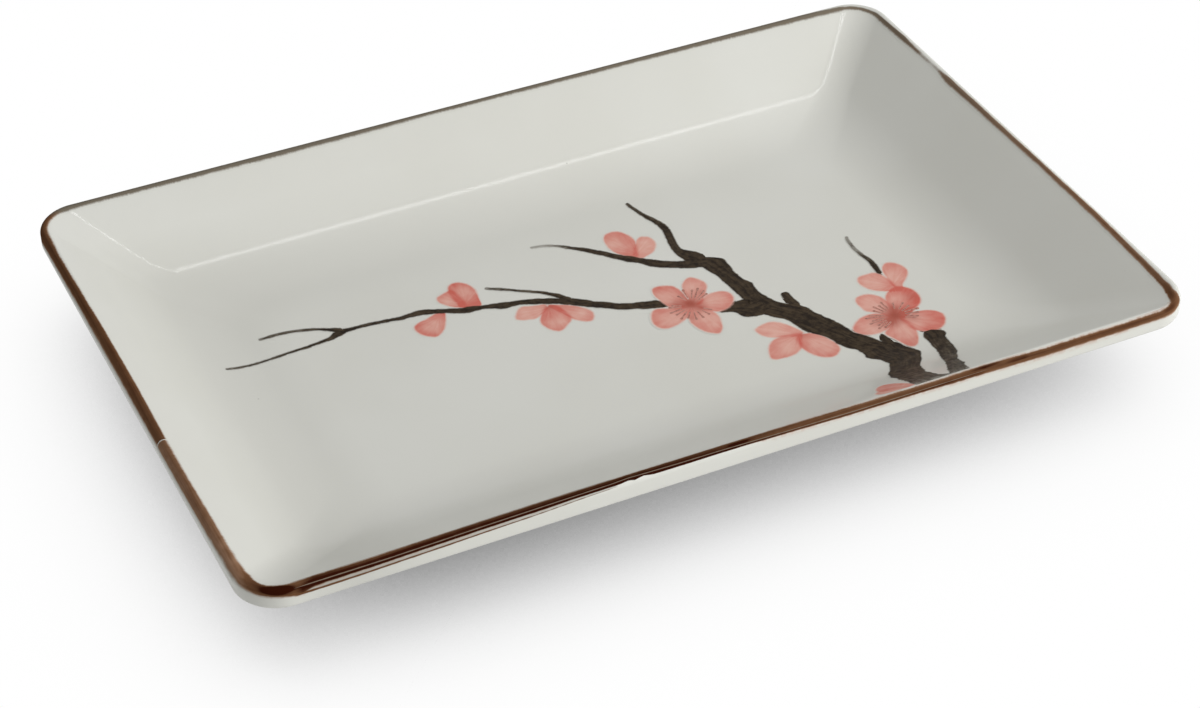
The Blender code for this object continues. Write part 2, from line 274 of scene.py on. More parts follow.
# Thin second pass of the brush below the line, front left, in millimetres: length so far, place across, width
LOWER_PASS = (
    (56, 3.35, 0.6), (62, 3.4, 0.55), (70, 3.3, 0.5), (75, 3.15, 0.48), (85, 2.9, 0.45), (95, 2.6, 0.36),
    (105, 2.4, 0.25), (115, 2.05, 0.16), (122, 1.9, 0.08),
)

# Painted highlight along the front: a thin paler streak in the line where a lamp's reflection would lie:
# length so far, place across, width
PAINTED_HIGHLIGHT = (
    (56, 1.8, 0.0), (59, 1.78, 0.28), (75, 1.75, 0.26), (85, 1.58, 0.26), (95, 1.40, 0.26),
    (105, 1.27, 0.26), (115, 1.15, 0.26), (121, 1.10, 0.26), (125, 0.90, 0.28), (129, 1.05, 0.26),
    (135, 1.20, 0.24), (145, 1.30, 0.22), (160, 1.60, 0.20), (175, 1.85, 0.20), (190, 1.90, 0.18),
    (204, 1.95, 0.1), (206, 1.95, 0.0),
)

# Faint fringe where the colour ran down below the line along the front: length so far, reach
FRINGE = (
    (56, 0.0), (58, 0.9), (80, 0.7), (100, 0.4), (115, 0.0), (152, 0.0), (157, 0.8), (168, 0.75),
    (172, 0.35), (176, 0.7), (197, 0.8), (203, 0.4), (210, 0.6), (216, 1.0), (232, 0.9), (245, 0.3),
    (252, 0.0),
)

# Where the line's colour pooled, in millimetres: length so far, place across, reach along and across it,
# and strength
LINE_POOLS = (
    (53.0, 1.55, 2.9, 0.85, 1.0), (149.0, 0.9, 2.4, 0.4, 0.35), (205.5, 1.2, 3.4, 0.4, 0.35),
    (213.0, 1.75, 2.6, 0.4, 0.20), (251.0, 1.5, 2.2, 0.6, 0.15),
)

# Brush strokes of the branch in millimetres, root to tip: x, y, width and strength of the ink.
# The first stroke of a name is the main one, the others are its stubs.
STROKES = {
    "trunk": (
        (
            (42.05, -66.8, 8.3, 0.50), (41.95, -66.0, 8.1, 0.56), (41.8, -64.0, 7.2, 0.68),
            (42.2, -62.0, 6.6, 0.76), (42.6, -60.0, 6.4, 0.80), (43.0, -58.0, 6.4, 0.84),
            (43.6, -56.0, 6.6, 0.86), (44.3, -54.0, 7.2, 0.88), (44.95, -52.0, 7.7, 0.90),
            (45.8, -50.0, 7.8, 0.92), (46.95, -48.4, 7.7, 0.92), (48.65, -46.0, 7.9, 0.93),
            (49.7, -44.0, 8.0, 0.95), (49.85, -42.0, 8.7, 0.96), (48.75, -40.0, 9.3, 0.98),
            (48.1, -38.6, 9.4, 1.00), (47.9, -37.0, 8.6, 1.00), (46.3, -35.4, 7.0, 1.00),
            (45.15, -34.0, 6.9, 1.00), (44.0, -32.0, 7.0, 1.00), (42.9, -30.0, 6.0, 1.00),
            (42.05, -28.0, 6.3, 1.00), (40.75, -26.0, 7.5, 1.00), (39.9, -24.3, 7.6, 1.00),
            (39.05, -22.0, 7.1, 0.98), (38.25, -20.0, 6.9, 0.98), (37.05, -18.0, 7.7, 1.00),
            (35.4, -16.0, 8.4, 1.00), (33.7, -14.3, 7.0, 0.98), (32.75, -12.0, 5.7, 0.96),
            (32.25, -10.0, 5.1, 1.00), (31.9, -8.0, 4.6, 1.00), (31.9, -6.0, 5.0, 1.00),
            (31.85, -4.8, 5.3, 1.00), (31.4, -3.5, 4.6, 1.00), (31.15, -2.0, 4.3, 0.98),
            (30.85, 0.0, 4.3, 1.00), (30.55, 2.0, 4.7, 1.00), (30.25, 4.0, 5.5, 1.00),
            (29.85, 6.0, 6.1, 1.00), (29.05, 7.2, 5.5, 1.00), (27.8, 8.5, 3.6, 1.00),
        ),
        ((38.9, -16.5, 2.6, 1.00), (38.8, -13.5, 2.3, 1.00), (38.9, -10.7, 2.0, 1.00)),
        (
            (50.0, -37.2, 3.4, 1.00), (50.2, -35.6, 2.4, 1.00), (50.4, -34.2, 1.6, 1.00),
            (50.6, -32.9, 0.8, 1.00),
        ),
    ),
    "second_stem": (
        (
            (48.0, -66.8, 4.5, 0.50), (48.35, -66.0, 4.5, 0.60), (49.3, -64.0, 4.4, 0.70),
            (50.3, -62.0, 4.2, 0.76), (51.55, -60.0, 4.3, 0.80), (52.55, -58.0, 3.7, 0.80),
            (53.5, -56.0, 3.4, 0.80), (54.55, -54.0, 3.3, 0.80), (55.75, -52.0, 3.5, 0.80),
            (56.75, -50.0, 3.9, 0.82), (57.85, -48.0, 4.3, 0.84), (58.7, -46.0, 4.4, 0.86),
            (59.3, -44.0, 4.2, 0.88), (59.7, -42.0, 4.2, 0.90), (60.1, -40.0, 4.4, 0.94),
            (60.6, -38.6, 5.2, 0.97), (60.6, -37.4, 5.0, 1.00), (60.05, -36.2, 3.6, 1.00),
        ),
    ),
    "top_twig": (
        (
            (28.8, 7.4, 3.8, 1.00), (27.0, 9.5, 4.4, 1.00), (26.0, 11.3, 3.4, 1.00),
            (25.2, 13.2, 2.3, 1.00), (25.3, 15.3, 2.0, 1.00), (25.7, 17.6, 2.0, 0.98),
            (26.2, 20.0, 2.0, 1.00), (26.45, 21.8, 1.9, 1.00), (26.25, 23.6, 1.8, 0.95),
            (25.6, 25.6, 1.6, 0.92), (24.8, 27.6, 1.4, 0.88), (24.0, 30.0, 1.2, 0.82),
            (23.4, 32.0, 1.1, 0.78), (23.05, 34.6, 0.9, 0.70),
        ),
    ),
    "upper_limb": (
        (
            (29.0, 6.4, 3.4, 1.00), (26.0, 7.2, 3.2, 1.00), (24.0, 7.9, 3.0, 1.00),
            (22.0, 8.8, 2.6, 1.00), (20.0, 9.9, 2.8, 1.00), (18.0, 11.4, 2.8, 1.00),
            (16.0, 13.3, 2.1, 1.00), (14.0, 15.0, 2.4, 0.98), (12.0, 16.9, 1.9, 1.00),
            (10.0, 19.0, 1.8, 0.98), (8.0, 21.1, 1.7, 0.92), (6.0, 22.9, 1.5, 0.84),
            (4.0, 24.5, 1.2, 0.70), (2.0, 26.2, 1.0, 0.56), (0.0, 27.3, 0.9, 0.42),
            (-2.0, 28.0, 0.9, 0.34), (-4.0, 28.3, 0.9, 0.26),
        ),
    ),
    "limb_root": (
        (
            (33.0, -12.4, 5.0, 1.00), (30.0, -12.9, 6.0, 1.00), (28.5, -11.9, 6.2, 1.00),
            (27.0, -11.2, 4.4, 1.00), (25.5, -11.0, 2.3, 1.00), (24.2, -11.0, 1.4, 1.00),
            (23.2, -11.1, 0.8, 1.00),
        ),
    ),
    "long_limb": (
        (
            (14.6, -3.6, 2.4, 1.00), (12.0, -2.5, 2.9, 1.00), (10.0, -1.9, 2.8, 1.00),
            (8.0, -1.1, 2.4, 1.00), (6.0, -0.5, 2.4, 1.00), (4.0, 0.5, 2.4, 1.00), (2.0, 1.9, 2.4, 0.98),
            (0.0, 3.2, 2.4, 1.00), (-2.0, 4.7, 2.6, 1.00), (-4.0, 6.2, 2.6, 1.00), (-6.0, 7.5, 2.4, 0.98),
            (-8.0, 8.4, 2.3, 1.00), (-10.0, 9.3, 2.2, 1.00), (-12.0, 10.1, 2.1, 1.00),
            (-14.0, 10.8, 1.7, 1.00), (-16.0, 11.2, 2.0, 1.00), (-18.2, 11.5, 2.5, 1.00),
            (-20.0, 12.2, 1.9, 1.00), (-22.0, 12.8, 1.6, 1.00), (-24.0, 13.2, 1.9, 0.97),
            (-26.0, 13.5, 2.3, 0.95), (-28.0, 14.2, 2.0, 0.97), (-30.0, 15.1, 1.6, 1.00),
            (-32.0, 15.9, 1.7, 1.00), (-34.0, 16.6, 2.0, 1.00), (-36.0, 17.0, 1.9, 1.00),
            (-38.0, 17.05, 1.5, 0.96), (-40.0, 17.0, 1.4, 0.94), (-44.0, 17.6, 1.2, 0.86),
            (-48.0, 18.0, 1.2, 0.84), (-51.0, 18.1, 1.3, 0.92), (-53.0, 18.1, 2.0, 1.00),
            (-54.4, 17.7, 2.2, 1.00), (-56.0, 16.9, 1.3, 0.96), (-58.0, 16.7, 1.1, 0.92),
            (-62.0, 16.3, 0.9, 0.86), (-66.0, 16.1, 0.85, 0.82), (-70.0, 15.8, 0.8, 0.76),
            (-74.0, 15.5, 0.8, 0.70), (-78.0, 15.2, 0.8, 0.64), (-80.3, 15.05, 0.8, 0.58),
        ),
    ),
    "fork_twig": (
        (
            (-52.8, 18.3, 2.0, 1.00), (-54.2, 19.3, 1.6, 1.00), (-56.0, 20.4, 1.1, 0.86),
            (-58.0, 21.4, 1.0, 0.76), (-60.0, 22.1, 1.0, 0.72), (-62.0, 22.6, 1.0, 0.72),
            (-64.0, 23.0, 1.0, 0.70), (-66.0, 23.15, 1.0, 0.68), (-68.0, 23.15, 1.0, 0.62),
            (-70.1, 23.1, 0.9, 0.52),
        ),
    ),
    "spur_twig": (
        (
            (-4.0, 6.9, 1.8, 1.00), (-5.2, 8.4, 1.7, 1.00), (-6.2, 9.8, 1.5, 0.98),
            (-7.2, 10.9, 1.2, 0.95), (-8.2, 11.8, 1.1, 0.90), (-10.0, 13.1, 1.0, 0.82),
            (-12.0, 14.4, 1.0, 0.76), (-14.0, 15.7, 1.0, 0.72), (-16.0, 17.0, 1.0, 0.68),
            (-18.0, 18.2, 1.0, 0.60), (-19.2, 19.0, 0.9, 0.50),
        ),
    ),
    "right_twig": (
        (
            (61.4, -14.0, 1.4, 0.95), (61.6, -11.5, 1.5, 0.90), (61.75, -9.0, 1.4, 0.80),
            (61.2, -6.0, 1.1, 0.66), (60.9, -3.0, 1.0, 0.56), (61.1, -0.5, 0.9, 0.50),
            (61.6, 1.5, 0.8, 0.40),
        ),
    ),
}

# Upright strokes: the width of their main stroke is measured level, and their root is cut off by the lip line
UPRIGHT = ("trunk", "second_stem")

# Blossoms in millimetres: centre, then petals as strength of the wash, palest place and outline
BLOSSOMS = {
    "open_blossom": (
        (18.9, -6.2),
        (
            (0.86, (14.7, -1.6), (
                (18.7, -5.4), (19.2, -2.6), (19.0, 0.2), (18.1, 2.0), (16.6, 2.9), (14.7, 3.3), (13.5, 2.8),
                (12.9, 1.0), (13.0, -1.0), (13.5, -3.2), (14.3, -5.0), (16.6, -6.2),
            )),
            (0.70, (21.3, -0.4), (
                (19.1, -6.4), (19.3, -2.6), (19.5, -0.0), (20.3, 1.6), (21.7, 2.8), (23.1, 3.1),
                (24.3, 2.0), (25.2, 0.2), (25.1, -1.4), (24.1, -2.9), (22.7, -4.7), (21.1, -6.6),
            )),
            (0.74, (23.9, -6.2), (
                (19.3, -6.6), (21.5, -5.3), (23.1, -4.2), (25.1, -4.0), (26.9, -4.3), (28.2, -5.4),
                (28.5, -7.0), (27.8, -8.7), (26.4, -10.1), (24.2, -10.9), (22.2, -10.6), (20.5, -8.8),
            )),
            (0.70, (20.2, -12.6), (
                (18.9, -6.4), (21.5, -9.0), (22.4, -11.8), (21.9, -14.2), (21.0, -16.4), (19.6, -17.7),
                (18.0, -17.0), (16.6, -15.4), (15.8, -13.2), (15.6, -11.0), (16.5, -8.8),
            )),
            (0.74, (12.7, -8.6), (
                (18.5, -6.4), (15.7, -5.2), (13.6, -4.8), (11.7, -4.0), (10.3, -4.1), (9.1, -5.4),
                (8.3, -7.2), (8.2, -9.0), (8.7, -10.5), (10.2, -11.4), (12.4, -11.3), (14.6, -10.6),
                (16.7, -9.2),
            )),
        ),
    ),
    "right_blossom": (
        (56.4, -28.7),
        (
            (0.62, (54.0, -23.5), (
                (56.2, -29.1), (53.6, -26.3), (51.6, -24.6), (51.2, -22.6), (51.2, -20.7), (52.0, -19.3),
                (53.7, -18.9), (55.5, -19.4), (57.0, -20.8), (57.6, -22.6), (57.8, -25.2),
            )),
            (0.74, (50.3, -30.3), (
                (56.2, -28.7), (54.4, -26.5), (52.4, -25.7), (50.2, -25.7), (48.4, -26.3), (46.8, -27.5),
                (45.7, -29.1), (46.1, -30.7), (47.5, -31.9), (49.3, -32.5), (51.3, -32.5), (53.9, -31.5),
            )),
            (0.76, (55.5, -34.1), (
                (56.4, -29.1), (53.5, -31.3), (51.4, -32.7), (51.3, -33.9), (52.1, -35.7), (52.8, -37.8),
                (53.5, -39.6), (54.4, -40.2), (55.7, -39.6), (57.0, -37.8), (58.0, -35.7), (58.4, -33.7),
                (58.1, -31.1),
            )),
            (0.92, (59.5, -31.6), (
                (56.8, -29.5), (58.8, -29.6), (60.6, -29.3), (62.4, -29.3), (64.2, -29.9), (65.7, -31.1),
                (66.4, -32.7), (65.7, -34.6), (64.3, -36.2), (62.4, -37.0), (60.3, -36.7), (58.4, -35.6),
                (57.2, -33.6),
            )),
            (1.10, (59.2, -23.6), (
                (56.4, -28.9), (57.0, -26.0), (57.2, -23.5), (58.3, -21.3), (60.3, -19.9), (62.6, -19.6),
                (64.4, -21.0), (65.2, -23.2), (64.9, -25.6), (63.8, -27.2), (62.0, -28.4), (60.0, -29.6),
                (58.0, -30.3),
            )),
        ),
    ),
    "right_pair": (
        (61.7, -18.8),
        (
            (0.70, (57.9, -16.0), (
                (61.9, -21.2), (60.1, -20.7), (58.5, -19.9), (56.9, -18.8), (55.7, -17.2), (55.2, -15.4),
                (55.5, -13.8), (56.5, -12.9), (58.3, -12.7), (60.0, -12.8), (61.1, -13.6), (61.9, -15.4),
                (62.3, -17.8),
            )),
            (0.74, (63.3, -16.0), (
                (61.9, -21.2), (61.4, -17.6), (61.8, -15.2), (62.3, -13.2), (63.2, -11.6), (64.6, -10.9),
                (66.1, -11.6), (67.3, -13.2), (67.6, -15.2), (66.7, -17.0), (65.3, -18.4), (63.9, -19.6),
                (63.1, -21.0),
            )),
        ),
    ),
    "trunk_trio": (
        (34.6, -25.3),
        (
            (0.54, (30.6, -22.3), (
                (26.7, -19.9), (27.8, -19.1), (29.6, -18.7), (31.4, -18.7), (33.0, -19.7), (34.2, -21.3),
                (35.2, -23.1), (35.9, -25.3), (34.2, -25.9), (32.0, -25.1), (30.0, -24.5), (28.1, -23.4),
                (27.0, -21.8),
            )),
            (0.72, (30.7, -28.4), (
                (35.4, -25.1), (32.2, -24.2), (30.0, -24.2), (28.2, -24.8), (26.7, -26.2), (25.7, -28.0),
                (25.2, -29.8), (25.8, -30.9), (27.5, -31.2), (29.5, -31.3), (31.5, -30.8), (33.3, -29.6),
                (34.3, -27.5),
            )),
            (0.74, (37.7, -30.5), (
                (34.6, -25.3), (37.1, -25.9), (38.5, -27.1), (39.7, -29.2), (40.4, -31.4), (40.3, -33.4),
                (39.1, -34.8), (37.5, -35.4), (35.7, -34.8), (34.0, -33.2), (33.0, -31.0), (32.7, -28.6),
                (33.3, -26.3),
            )),
        ),
    ),
    "limb_trio": (
        (-9.3, 6.5),
        (
            (0.62, (-14.3, 6.3), (
                (-9.5, 7.9), (-11.3, 8.5), (-12.9, 9.0), (-14.5, 9.5), (-15.7, 9.1), (-16.7, 8.1),
                (-17.5, 6.7), (-17.7, 5.8), (-16.7, 4.9), (-14.9, 4.3), (-13.5, 4.1), (-12.1, 4.7),
                (-9.9, 5.9),
            )),
            (0.72, (-4.3, 1.6), (
                (-9.5, 7.5), (-7.3, 6.7), (-5.1, 5.5), (-3.5, 4.2), (-2.1, 2.6), (-1.5, 1.0), (-1.9, -0.6),
                (-2.9, -1.7), (-4.5, -1.5), (-5.9, -0.4), (-6.9, 0.9), (-8.1, 3.7),
            )),
            (0.92, (-9.7, 0.9), (
                (-9.1, 7.5), (-11.3, 6.1), (-12.7, 4.3), (-13.5, 2.5), (-13.3, 0.7), (-12.5, -0.9),
                (-11.1, -2.1), (-9.7, -1.8), (-8.1, -0.7), (-6.9, 0.3), (-6.4, 1.9), (-6.7, 3.9),
                (-7.5, 6.3),
            )),
        ),
    ),
    "upper_bud": (
        (-25.3, 15.7),
        (
            (0.90, (-28.4, 17.9), (
                (-26.0, 21.7), (-27.4, 21.5), (-28.8, 21.1), (-30.0, 20.5), (-30.4, 19.3), (-30.0, 17.9),
                (-29.0, 16.5), (-27.6, 15.3), (-25.5, 14.5), (-25.0, 17.1), (-25.2, 19.7),
            )),
            (1.05, (-23.8, 19.5), (
                (-22.3, 13.5), (-21.7, 16.1), (-21.2, 18.5), (-21.3, 20.7), (-22.2, 22.5), (-23.6, 23.7),
                (-25.2, 23.8), (-26.4, 23.0), (-27.0, 21.3), (-27.2, 19.1), (-27.0, 16.7), (-26.7, 14.7),
                (-24.5, 13.3),
            )),
        ),
    ),
    "lower_bud": (
        (-32.2, 13.7),
        (
            (0.94, (-34.2, 11.5), (
                (-30.4, 14.9), (-31.1, 12.5), (-31.8, 10.9), (-32.8, 9.3), (-34.2, 8.0), (-35.6, 7.5),
                (-37.0, 8.3), (-38.2, 9.7), (-38.8, 11.5), (-38.4, 13.1), (-37.0, 14.0), (-35.0, 14.5),
                (-33.4, 15.1), (-31.8, 15.5),
            )),
        ),
    ),
    "upper_pair": (
        (16.4, 16.1),
        (
            (0.58, (19.4, 18.1), (
                (15.2, 15.0), (16.6, 13.9), (18.2, 14.2), (19.8, 14.8), (21.0, 15.8), (22.0, 17.4),
                (22.3, 19.1), (21.7, 20.7), (20.3, 21.5), (19.0, 21.1), (17.8, 19.7), (16.4, 17.9),
            )),
            (0.82, (13.4, 21.3), (
                (11.6, 21.6), (11.9, 23.7), (13.0, 25.5), (14.7, 26.1), (16.3, 25.7), (17.5, 24.3),
                (18.3, 22.5), (18.4, 20.5), (17.9, 18.7), (17.2, 16.9), (16.2, 14.8), (14.4, 15.7),
                (13.2, 16.9), (12.2, 18.5), (11.7, 20.1),
            )),
        ),
    ),
    "rim_petals": (
        (35.4, -64.6),
        (
            (0.52, (34.0, -65.6), (
                (33.7, -61.6), (31.8, -62.0), (30.4, -63.2), (30.0, -64.7), (30.7, -65.9), (32.7, -66.5),
                (35.0, -66.6), (37.0, -66.5), (36.8, -64.4), (35.4, -62.6),
            )),
            (0.72, (35.6, -65.0), (
                (35.2, -57.5), (33.8, -58.3), (32.5, -60.0), (31.7, -62.0), (32.4, -64.3), (34.5, -66.0),
                (36.8, -66.6), (38.3, -65.8), (38.3, -63.5), (38.0, -60.8), (37.3, -58.6), (36.4, -57.6),
            )),
        ),
    ),
}

# Where the reddish heart of an open blossom lies, in millimetres: place, spread and strength
HEARTS = {
    "open_blossom": (
        (18.7, -5.6, 2.1, 0.82), (15.9, -4.7, 1.6, 0.48), (20.1, -8.0, 1.2, 0.45), (22.5, -2.8, 1.0, 0.32),
        (16.6, -10.2, 0.9, 0.32), (18.8, -2.2, 0.9, 0.30),
    ),
    "right_blossom": (
        (56.6, -28.5, 2.2, 0.85), (54.4, -30.2, 1.8, 0.62), (57.3, -26.2, 1.5, 0.50),
        (60.2, -28.6, 1.5, 0.34), (52.4, -28.6, 1.7, 0.34), (59.8, -31.0, 1.2, 0.30),
        (63.2, -24.2, 1.6, 0.25),
    ),
    "limb_trio": ((-9.2, 6.7, 1.1, 0.35),),
    "trunk_trio": ((35.3, -26.1, 1.1, 0.22),),
}

# Stamens of the two open blossoms in millimetres: direction in degrees, start and end from the centre
STAMENS = {
    "open_blossom": (
        (28, 2.2, 5.4), (40, 2.6, 6.0), (52, 2.4, 6.4), (66, 2.4, 5.6), (84, 2.8, 6.0), (104, 2.0, 4.6),
        (160, 2.4, 4.6), (172, 2.4, 5.4), (186, 2.6, 5.8), (200, 2.2, 5.2), (216, 2.6, 5.8),
        (232, 2.4, 5.0), (250, 2.4, 5.4), (268, 2.2, 5.2), (292, 2.6, 5.0), (310, 2.4, 4.6),
    ),
    "right_blossom": (
        (90, 2.8, 5.8), (104, 2.4, 5.0), (118, 2.2, 5.6), (132, 2.6, 5.0), (150, 2.2, 5.6),
        (160, 2.8, 6.6), (171, 2.2, 5.4), (181, 2.8, 6.4), (192, 2.4, 5.2), (204, 2.6, 6.0),
        (216, 2.2, 4.8), (-34, 2.2, 4.6), (-20, 2.6, 5.2), (-6, 2.4, 5.6), (8, 2.6, 6.2), (22, 2.4, 5.2),
        (40, 2.6, 5.4), (62, 2.6, 4.8),
    ),
}


def shape_length(name, description, millimetres):
    return bpy.props.FloatProperty(
        name=name, description=description, default=millimetres * MM, min=0.0, precision=5, unit="LENGTH"
    )


def plain_angle(name, description, degrees):
    return bpy.props.FloatProperty(
        name=name, description=description, default=math.radians(degrees), subtype="ANGLE"
    )


def finish_colour(name, description, colour):
    return bpy.props.FloatVectorProperty(
        name=name, description=description, default=colour, size=3, min=0.0, max=1.0, subtype="COLOR"
    )


def studio_value(name, description, value, unit="NONE"):
    return bpy.props.FloatProperty(
        name=name, description=description, default=value, precision=5, unit=unit
    )


class PlateShape(bpy.types.PropertyGroup):
    """Sizes of the dish, its lip and its standing ring."""

    lip_radius: shape_length("Lip radius", "Rounding over the top of the wall", 1.25)
    wall_slope: plain_angle("Wall slope", "Slope of the inner wall", 33.7)
    wall_thickness: shape_length("Wall thickness", "Thickness of the wall and the floor", 4.6)
    wall_reach: shape_length("Wall reach", "Inset at which the wall starts to curve into the floor", 16.4)
    floor_fillet: shape_length("Floor fillet", "Radius between the wall and the floor", 31.0)
    edge_rounding: shape_length("Edge rounding", "Rounding under the outer face of the rim", 1.2)
    rim_corner: shape_length("Rim corner", "Plan radius of the rim's corners", 9.0)
    wall_corner: shape_length("Wall corner", "Plan radius at the foot of the wall", 6.0)
    floor_corner: shape_length("Floor corner", "Plan radius of the floor's corners", 9.0)
    foot_corner: shape_length("Foot corner", "Plan radius of the standing ring's corners", 12.0)
    foot_width: shape_length("Foot width", "Width of the standing ring where it meets the floor", 6.8)
    foot_taper: shape_length("Foot taper", "How far each side of the standing ring leans in", 1.2)
    foot_rounding: shape_length("Foot rounding", "Rounding of the standing edge", 0.8)
    line_break: shape_length("Line break", "Gap where the brush started and stopped", 0.25)


class PlateFinish(bpy.types.PropertyGroup):
    """Colours of the glaze and of the paints."""

    glaze: finish_colour("Glaze", "White glaze", (0.665, 0.665, 0.620))
    glaze_warm: finish_colour("Glaze, warm", "Where the glaze lies thicker", (0.640, 0.638, 0.588))
    # Painted shade: greyer glaze in the hollow between wall and floor, towards the left
    glaze_painted_shade: finish_colour("Glaze, pooled", "Where the glaze ran together", (0.585, 0.583, 0.538))
    clay: finish_colour("Clay", "Bare porcelain of the standing edge", (0.66, 0.62, 0.54))
    line_dark: finish_colour("Line, dark", "Brown line where it gathered", (0.032, 0.0065, 0.0026))
    line_brown: finish_colour(
        "Line, brown", "Brown line where the brush laid it evenly", (0.142, 0.068, 0.034)
    )
    line_thin: finish_colour(
        "Line, thin", "Brown line where the brush was nearly empty", (0.285, 0.168, 0.104)
    )
    line_wash: finish_colour("Line, wash", "Faint stain below the brown line", (0.558, 0.456, 0.392))
    # Colour of the painted highlight streak in the line
    line_painted_highlight: finish_colour(
        "Line, streak", "Paler streak a bristle left in the line", (0.200, 0.155, 0.115)
    )
    line_grey: finish_colour("Line, grey", "Thin greyer line on the far side", (0.165, 0.152, 0.120))
    bark_dark: finish_colour("Bark, dark", "Branch where the brush was full", (0.018, 0.012, 0.008))
    bark_brown: finish_colour("Bark, brown", "Branch between the bristles", (0.058, 0.041, 0.025))
    bark_thin: finish_colour("Bark, thin", "Branch where the brush ran dry", (0.130, 0.112, 0.086))
    petal_pale: finish_colour("Petal, pale", "Thin pink wash", (0.742, 0.452, 0.376))
    petal_deep: finish_colour("Petal, deep", "Full pink wash", (0.580, 0.135, 0.103))
    petal_heart: finish_colour("Petal, heart", "Centre of an open blossom", (0.330, 0.088, 0.062))
    stamen: finish_colour("Stamen", "Fine strokes over the petals", (0.300, 0.132, 0.102))
    table: finish_colour("Table", "Pale floor under the plate", (0.86, 0.86, 0.85))


class PlateStudio(bpy.types.PropertyGroup):
    """Camera and lights."""

    azimuth: plain_angle("Azimuth", "Camera's turn round the plate", -25.82)
    elevation: plain_angle("Elevation", "Camera above the horizon", 38.07)
    distance: studio_value("Distance", "Camera to the middle of the rim", 0.5931, "LENGTH")
    sideways: studio_value("Sideways", "Camera's move to the right in the picture", -0.00034, "LENGTH")
    lift: studio_value("Lift", "Camera's move up in the picture", -0.02061, "LENGTH")
    lens: studio_value("Lens", "Focal length", 83.62, "CAMERA")
    key_power: studio_value("Key", "Large soft light from the front right", 13.8, "POWER")
    strip_power: studio_value("Strip", "Narrow light overhead", 1.25, "POWER")
    sky: studio_value("Sky", "Even light from all round", 0.37)


class Ring:
    """One outline of a moulded piece: inset from the rim's outer face, height and plan corner radius."""

    def __init__(self, inset, height, corner):
        self.inset = inset
        self.height = height
        self.corner = corner

    def corner_centre(self, side_x, side_y):
        reach_x = HALF_LENGTH - self.inset - self.corner
        reach_y = HALF_WIDTH - self.inset - self.corner
        return Vector((side_x * reach_x, side_y * reach_y, self.height))


class Section:
    """Sizes that follow from the shape: where the lip, the wall and the floor meet."""

    def __init__(self, shape):
        self.sin = math.sin(shape.wall_slope)
        self.cos = math.cos(shape.wall_slope)
        self.lip_inset = shape.lip_radius
        self.lip_height = RIM_HEIGHT - shape.lip_radius
        self.wall_top_inset = shape.lip_radius * (1 + self.sin)
        self.wall_top_height = RIM_HEIGHT - shape.lip_radius * (1 - self.cos)
        run = shape.wall_reach - self.wall_top_inset
        self.wall_end_height = self.wall_top_height - run * self.sin / self.cos
        self.floor_inset = shape.wall_reach + shape.floor_fillet * self.sin
        self.floor_height = self.wall_end_height - shape.floor_fillet * (1 - self.cos)
        self.underside = self.floor_height - shape.wall_thickness
        self.outer_radius = shape.floor_fillet + shape.wall_thickness


def blend(start, end, share):
    return start + (end - start) * share


def smooth_step(low, high, value):
    share = min(max((value - low) / (high - low), 0.0), 1.0)
    return share * share * (3 - 2 * share)


def smooth_curve(before, start, end, after, t):
    """Place between start and end on a smooth curve through all four, which are numbers or vectors."""
    bend = (2 * before - 5 * start + 4 * end - after) * t**2 + (3 * start - before - 3 * end + after) * t**3
    return (2 * start + (end - before) * t + bend) / 2


def arc(inset, height, radius, start, end, steps):
    """Insets and heights on a section arc; angles run from the inward direction up to the vertical."""
    points = []
    for step in range(steps + 1):
        angle = blend(start, end, step / steps)
        points.append((inset + radius * math.cos(angle), height + radius * math.sin(angle)))
    return points


def start_clean():
    """Leave edit mode and deselect everything, so that the next operator acts on its own piece."""
    if bpy.context.object and bpy.context.object.mode != "OBJECT":
        bpy.ops.object.mode_set(mode="OBJECT")
    bpy.ops.object.select_all(action="DESELECT")


def newest(name):
    """The primitive that was just added, under its own name."""
    item = bpy.context.object
    item.name = name
    item.data.name = name
    return item


def select_verts(item, verts):
    """Select just these vertices of the piece in edit mode."""
    bpy.ops.mesh.select_all(action="DESELECT")
    edit = bmesh.from_edit_mesh(item.data)
    for vert in verts:
        vert.select = True
    edit.select_flush(True)
    bmesh.update_edit_mesh(item.data)


def start_outline(name, ring):
    """Plane primitive cut to a rounded rectangle, in edit mode with its open edge selected."""
    start_clean()
    bpy.ops.mesh.primitive_plane_add(size=2)
    item = newest(name)
    bpy.ops.object.mode_set(mode="EDIT")
    bpy.ops.mesh.select_mode(type="VERT")
    bpy.ops.transform.resize(value=(HALF_LENGTH - ring.inset, HALF_WIDTH - ring.inset, 1))
    bpy.ops.transform.translate(value=(0, 0, ring.height))
    bpy.ops.mesh.bevel(offset=ring.corner, segments=CORNER_SEGMENTS, affect="VERTICES", profile=0.5)
    bpy.ops.mesh.select_all(action="SELECT")
    bpy.ops.mesh.region_to_loop()
    bpy.ops.mesh.select_mode(type="VERT")
    return item


def grow(item, rings):
    """Extrude the open edge from ring to ring, moving and scaling its four corners."""
    for before, after in zip(rings, rings[1:]):
        bpy.ops.mesh.extrude_edges_indiv()
        edit = bmesh.from_edit_mesh(item.data)
        open_edge = [vert for vert in edit.verts if vert.select]
        scale = after.corner / before.corner
        for side_x, side_y in CORNERS:
            here = [vert for vert in open_edge if vert.co.x * side_x > 0 and vert.co.y * side_y > 0]
            select_verts(item, here)
            old = before.corner_centre(side_x, side_y)
            new = after.corner_centre(side_x, side_y)
            bpy.ops.transform.resize(value=(scale, scale, 1), center_override=old)
            bpy.ops.transform.translate(value=new - old)
        select_verts(item, open_edge)


def close_piece(item):
    """Turn every face outwards and leave edit mode with smooth shading."""
    bpy.ops.mesh.select_all(action="SELECT")
    bpy.ops.mesh.normals_make_consistent(inside=False)
    bpy.ops.object.mode_set(mode="OBJECT")
    bpy.ops.object.shade_smooth()


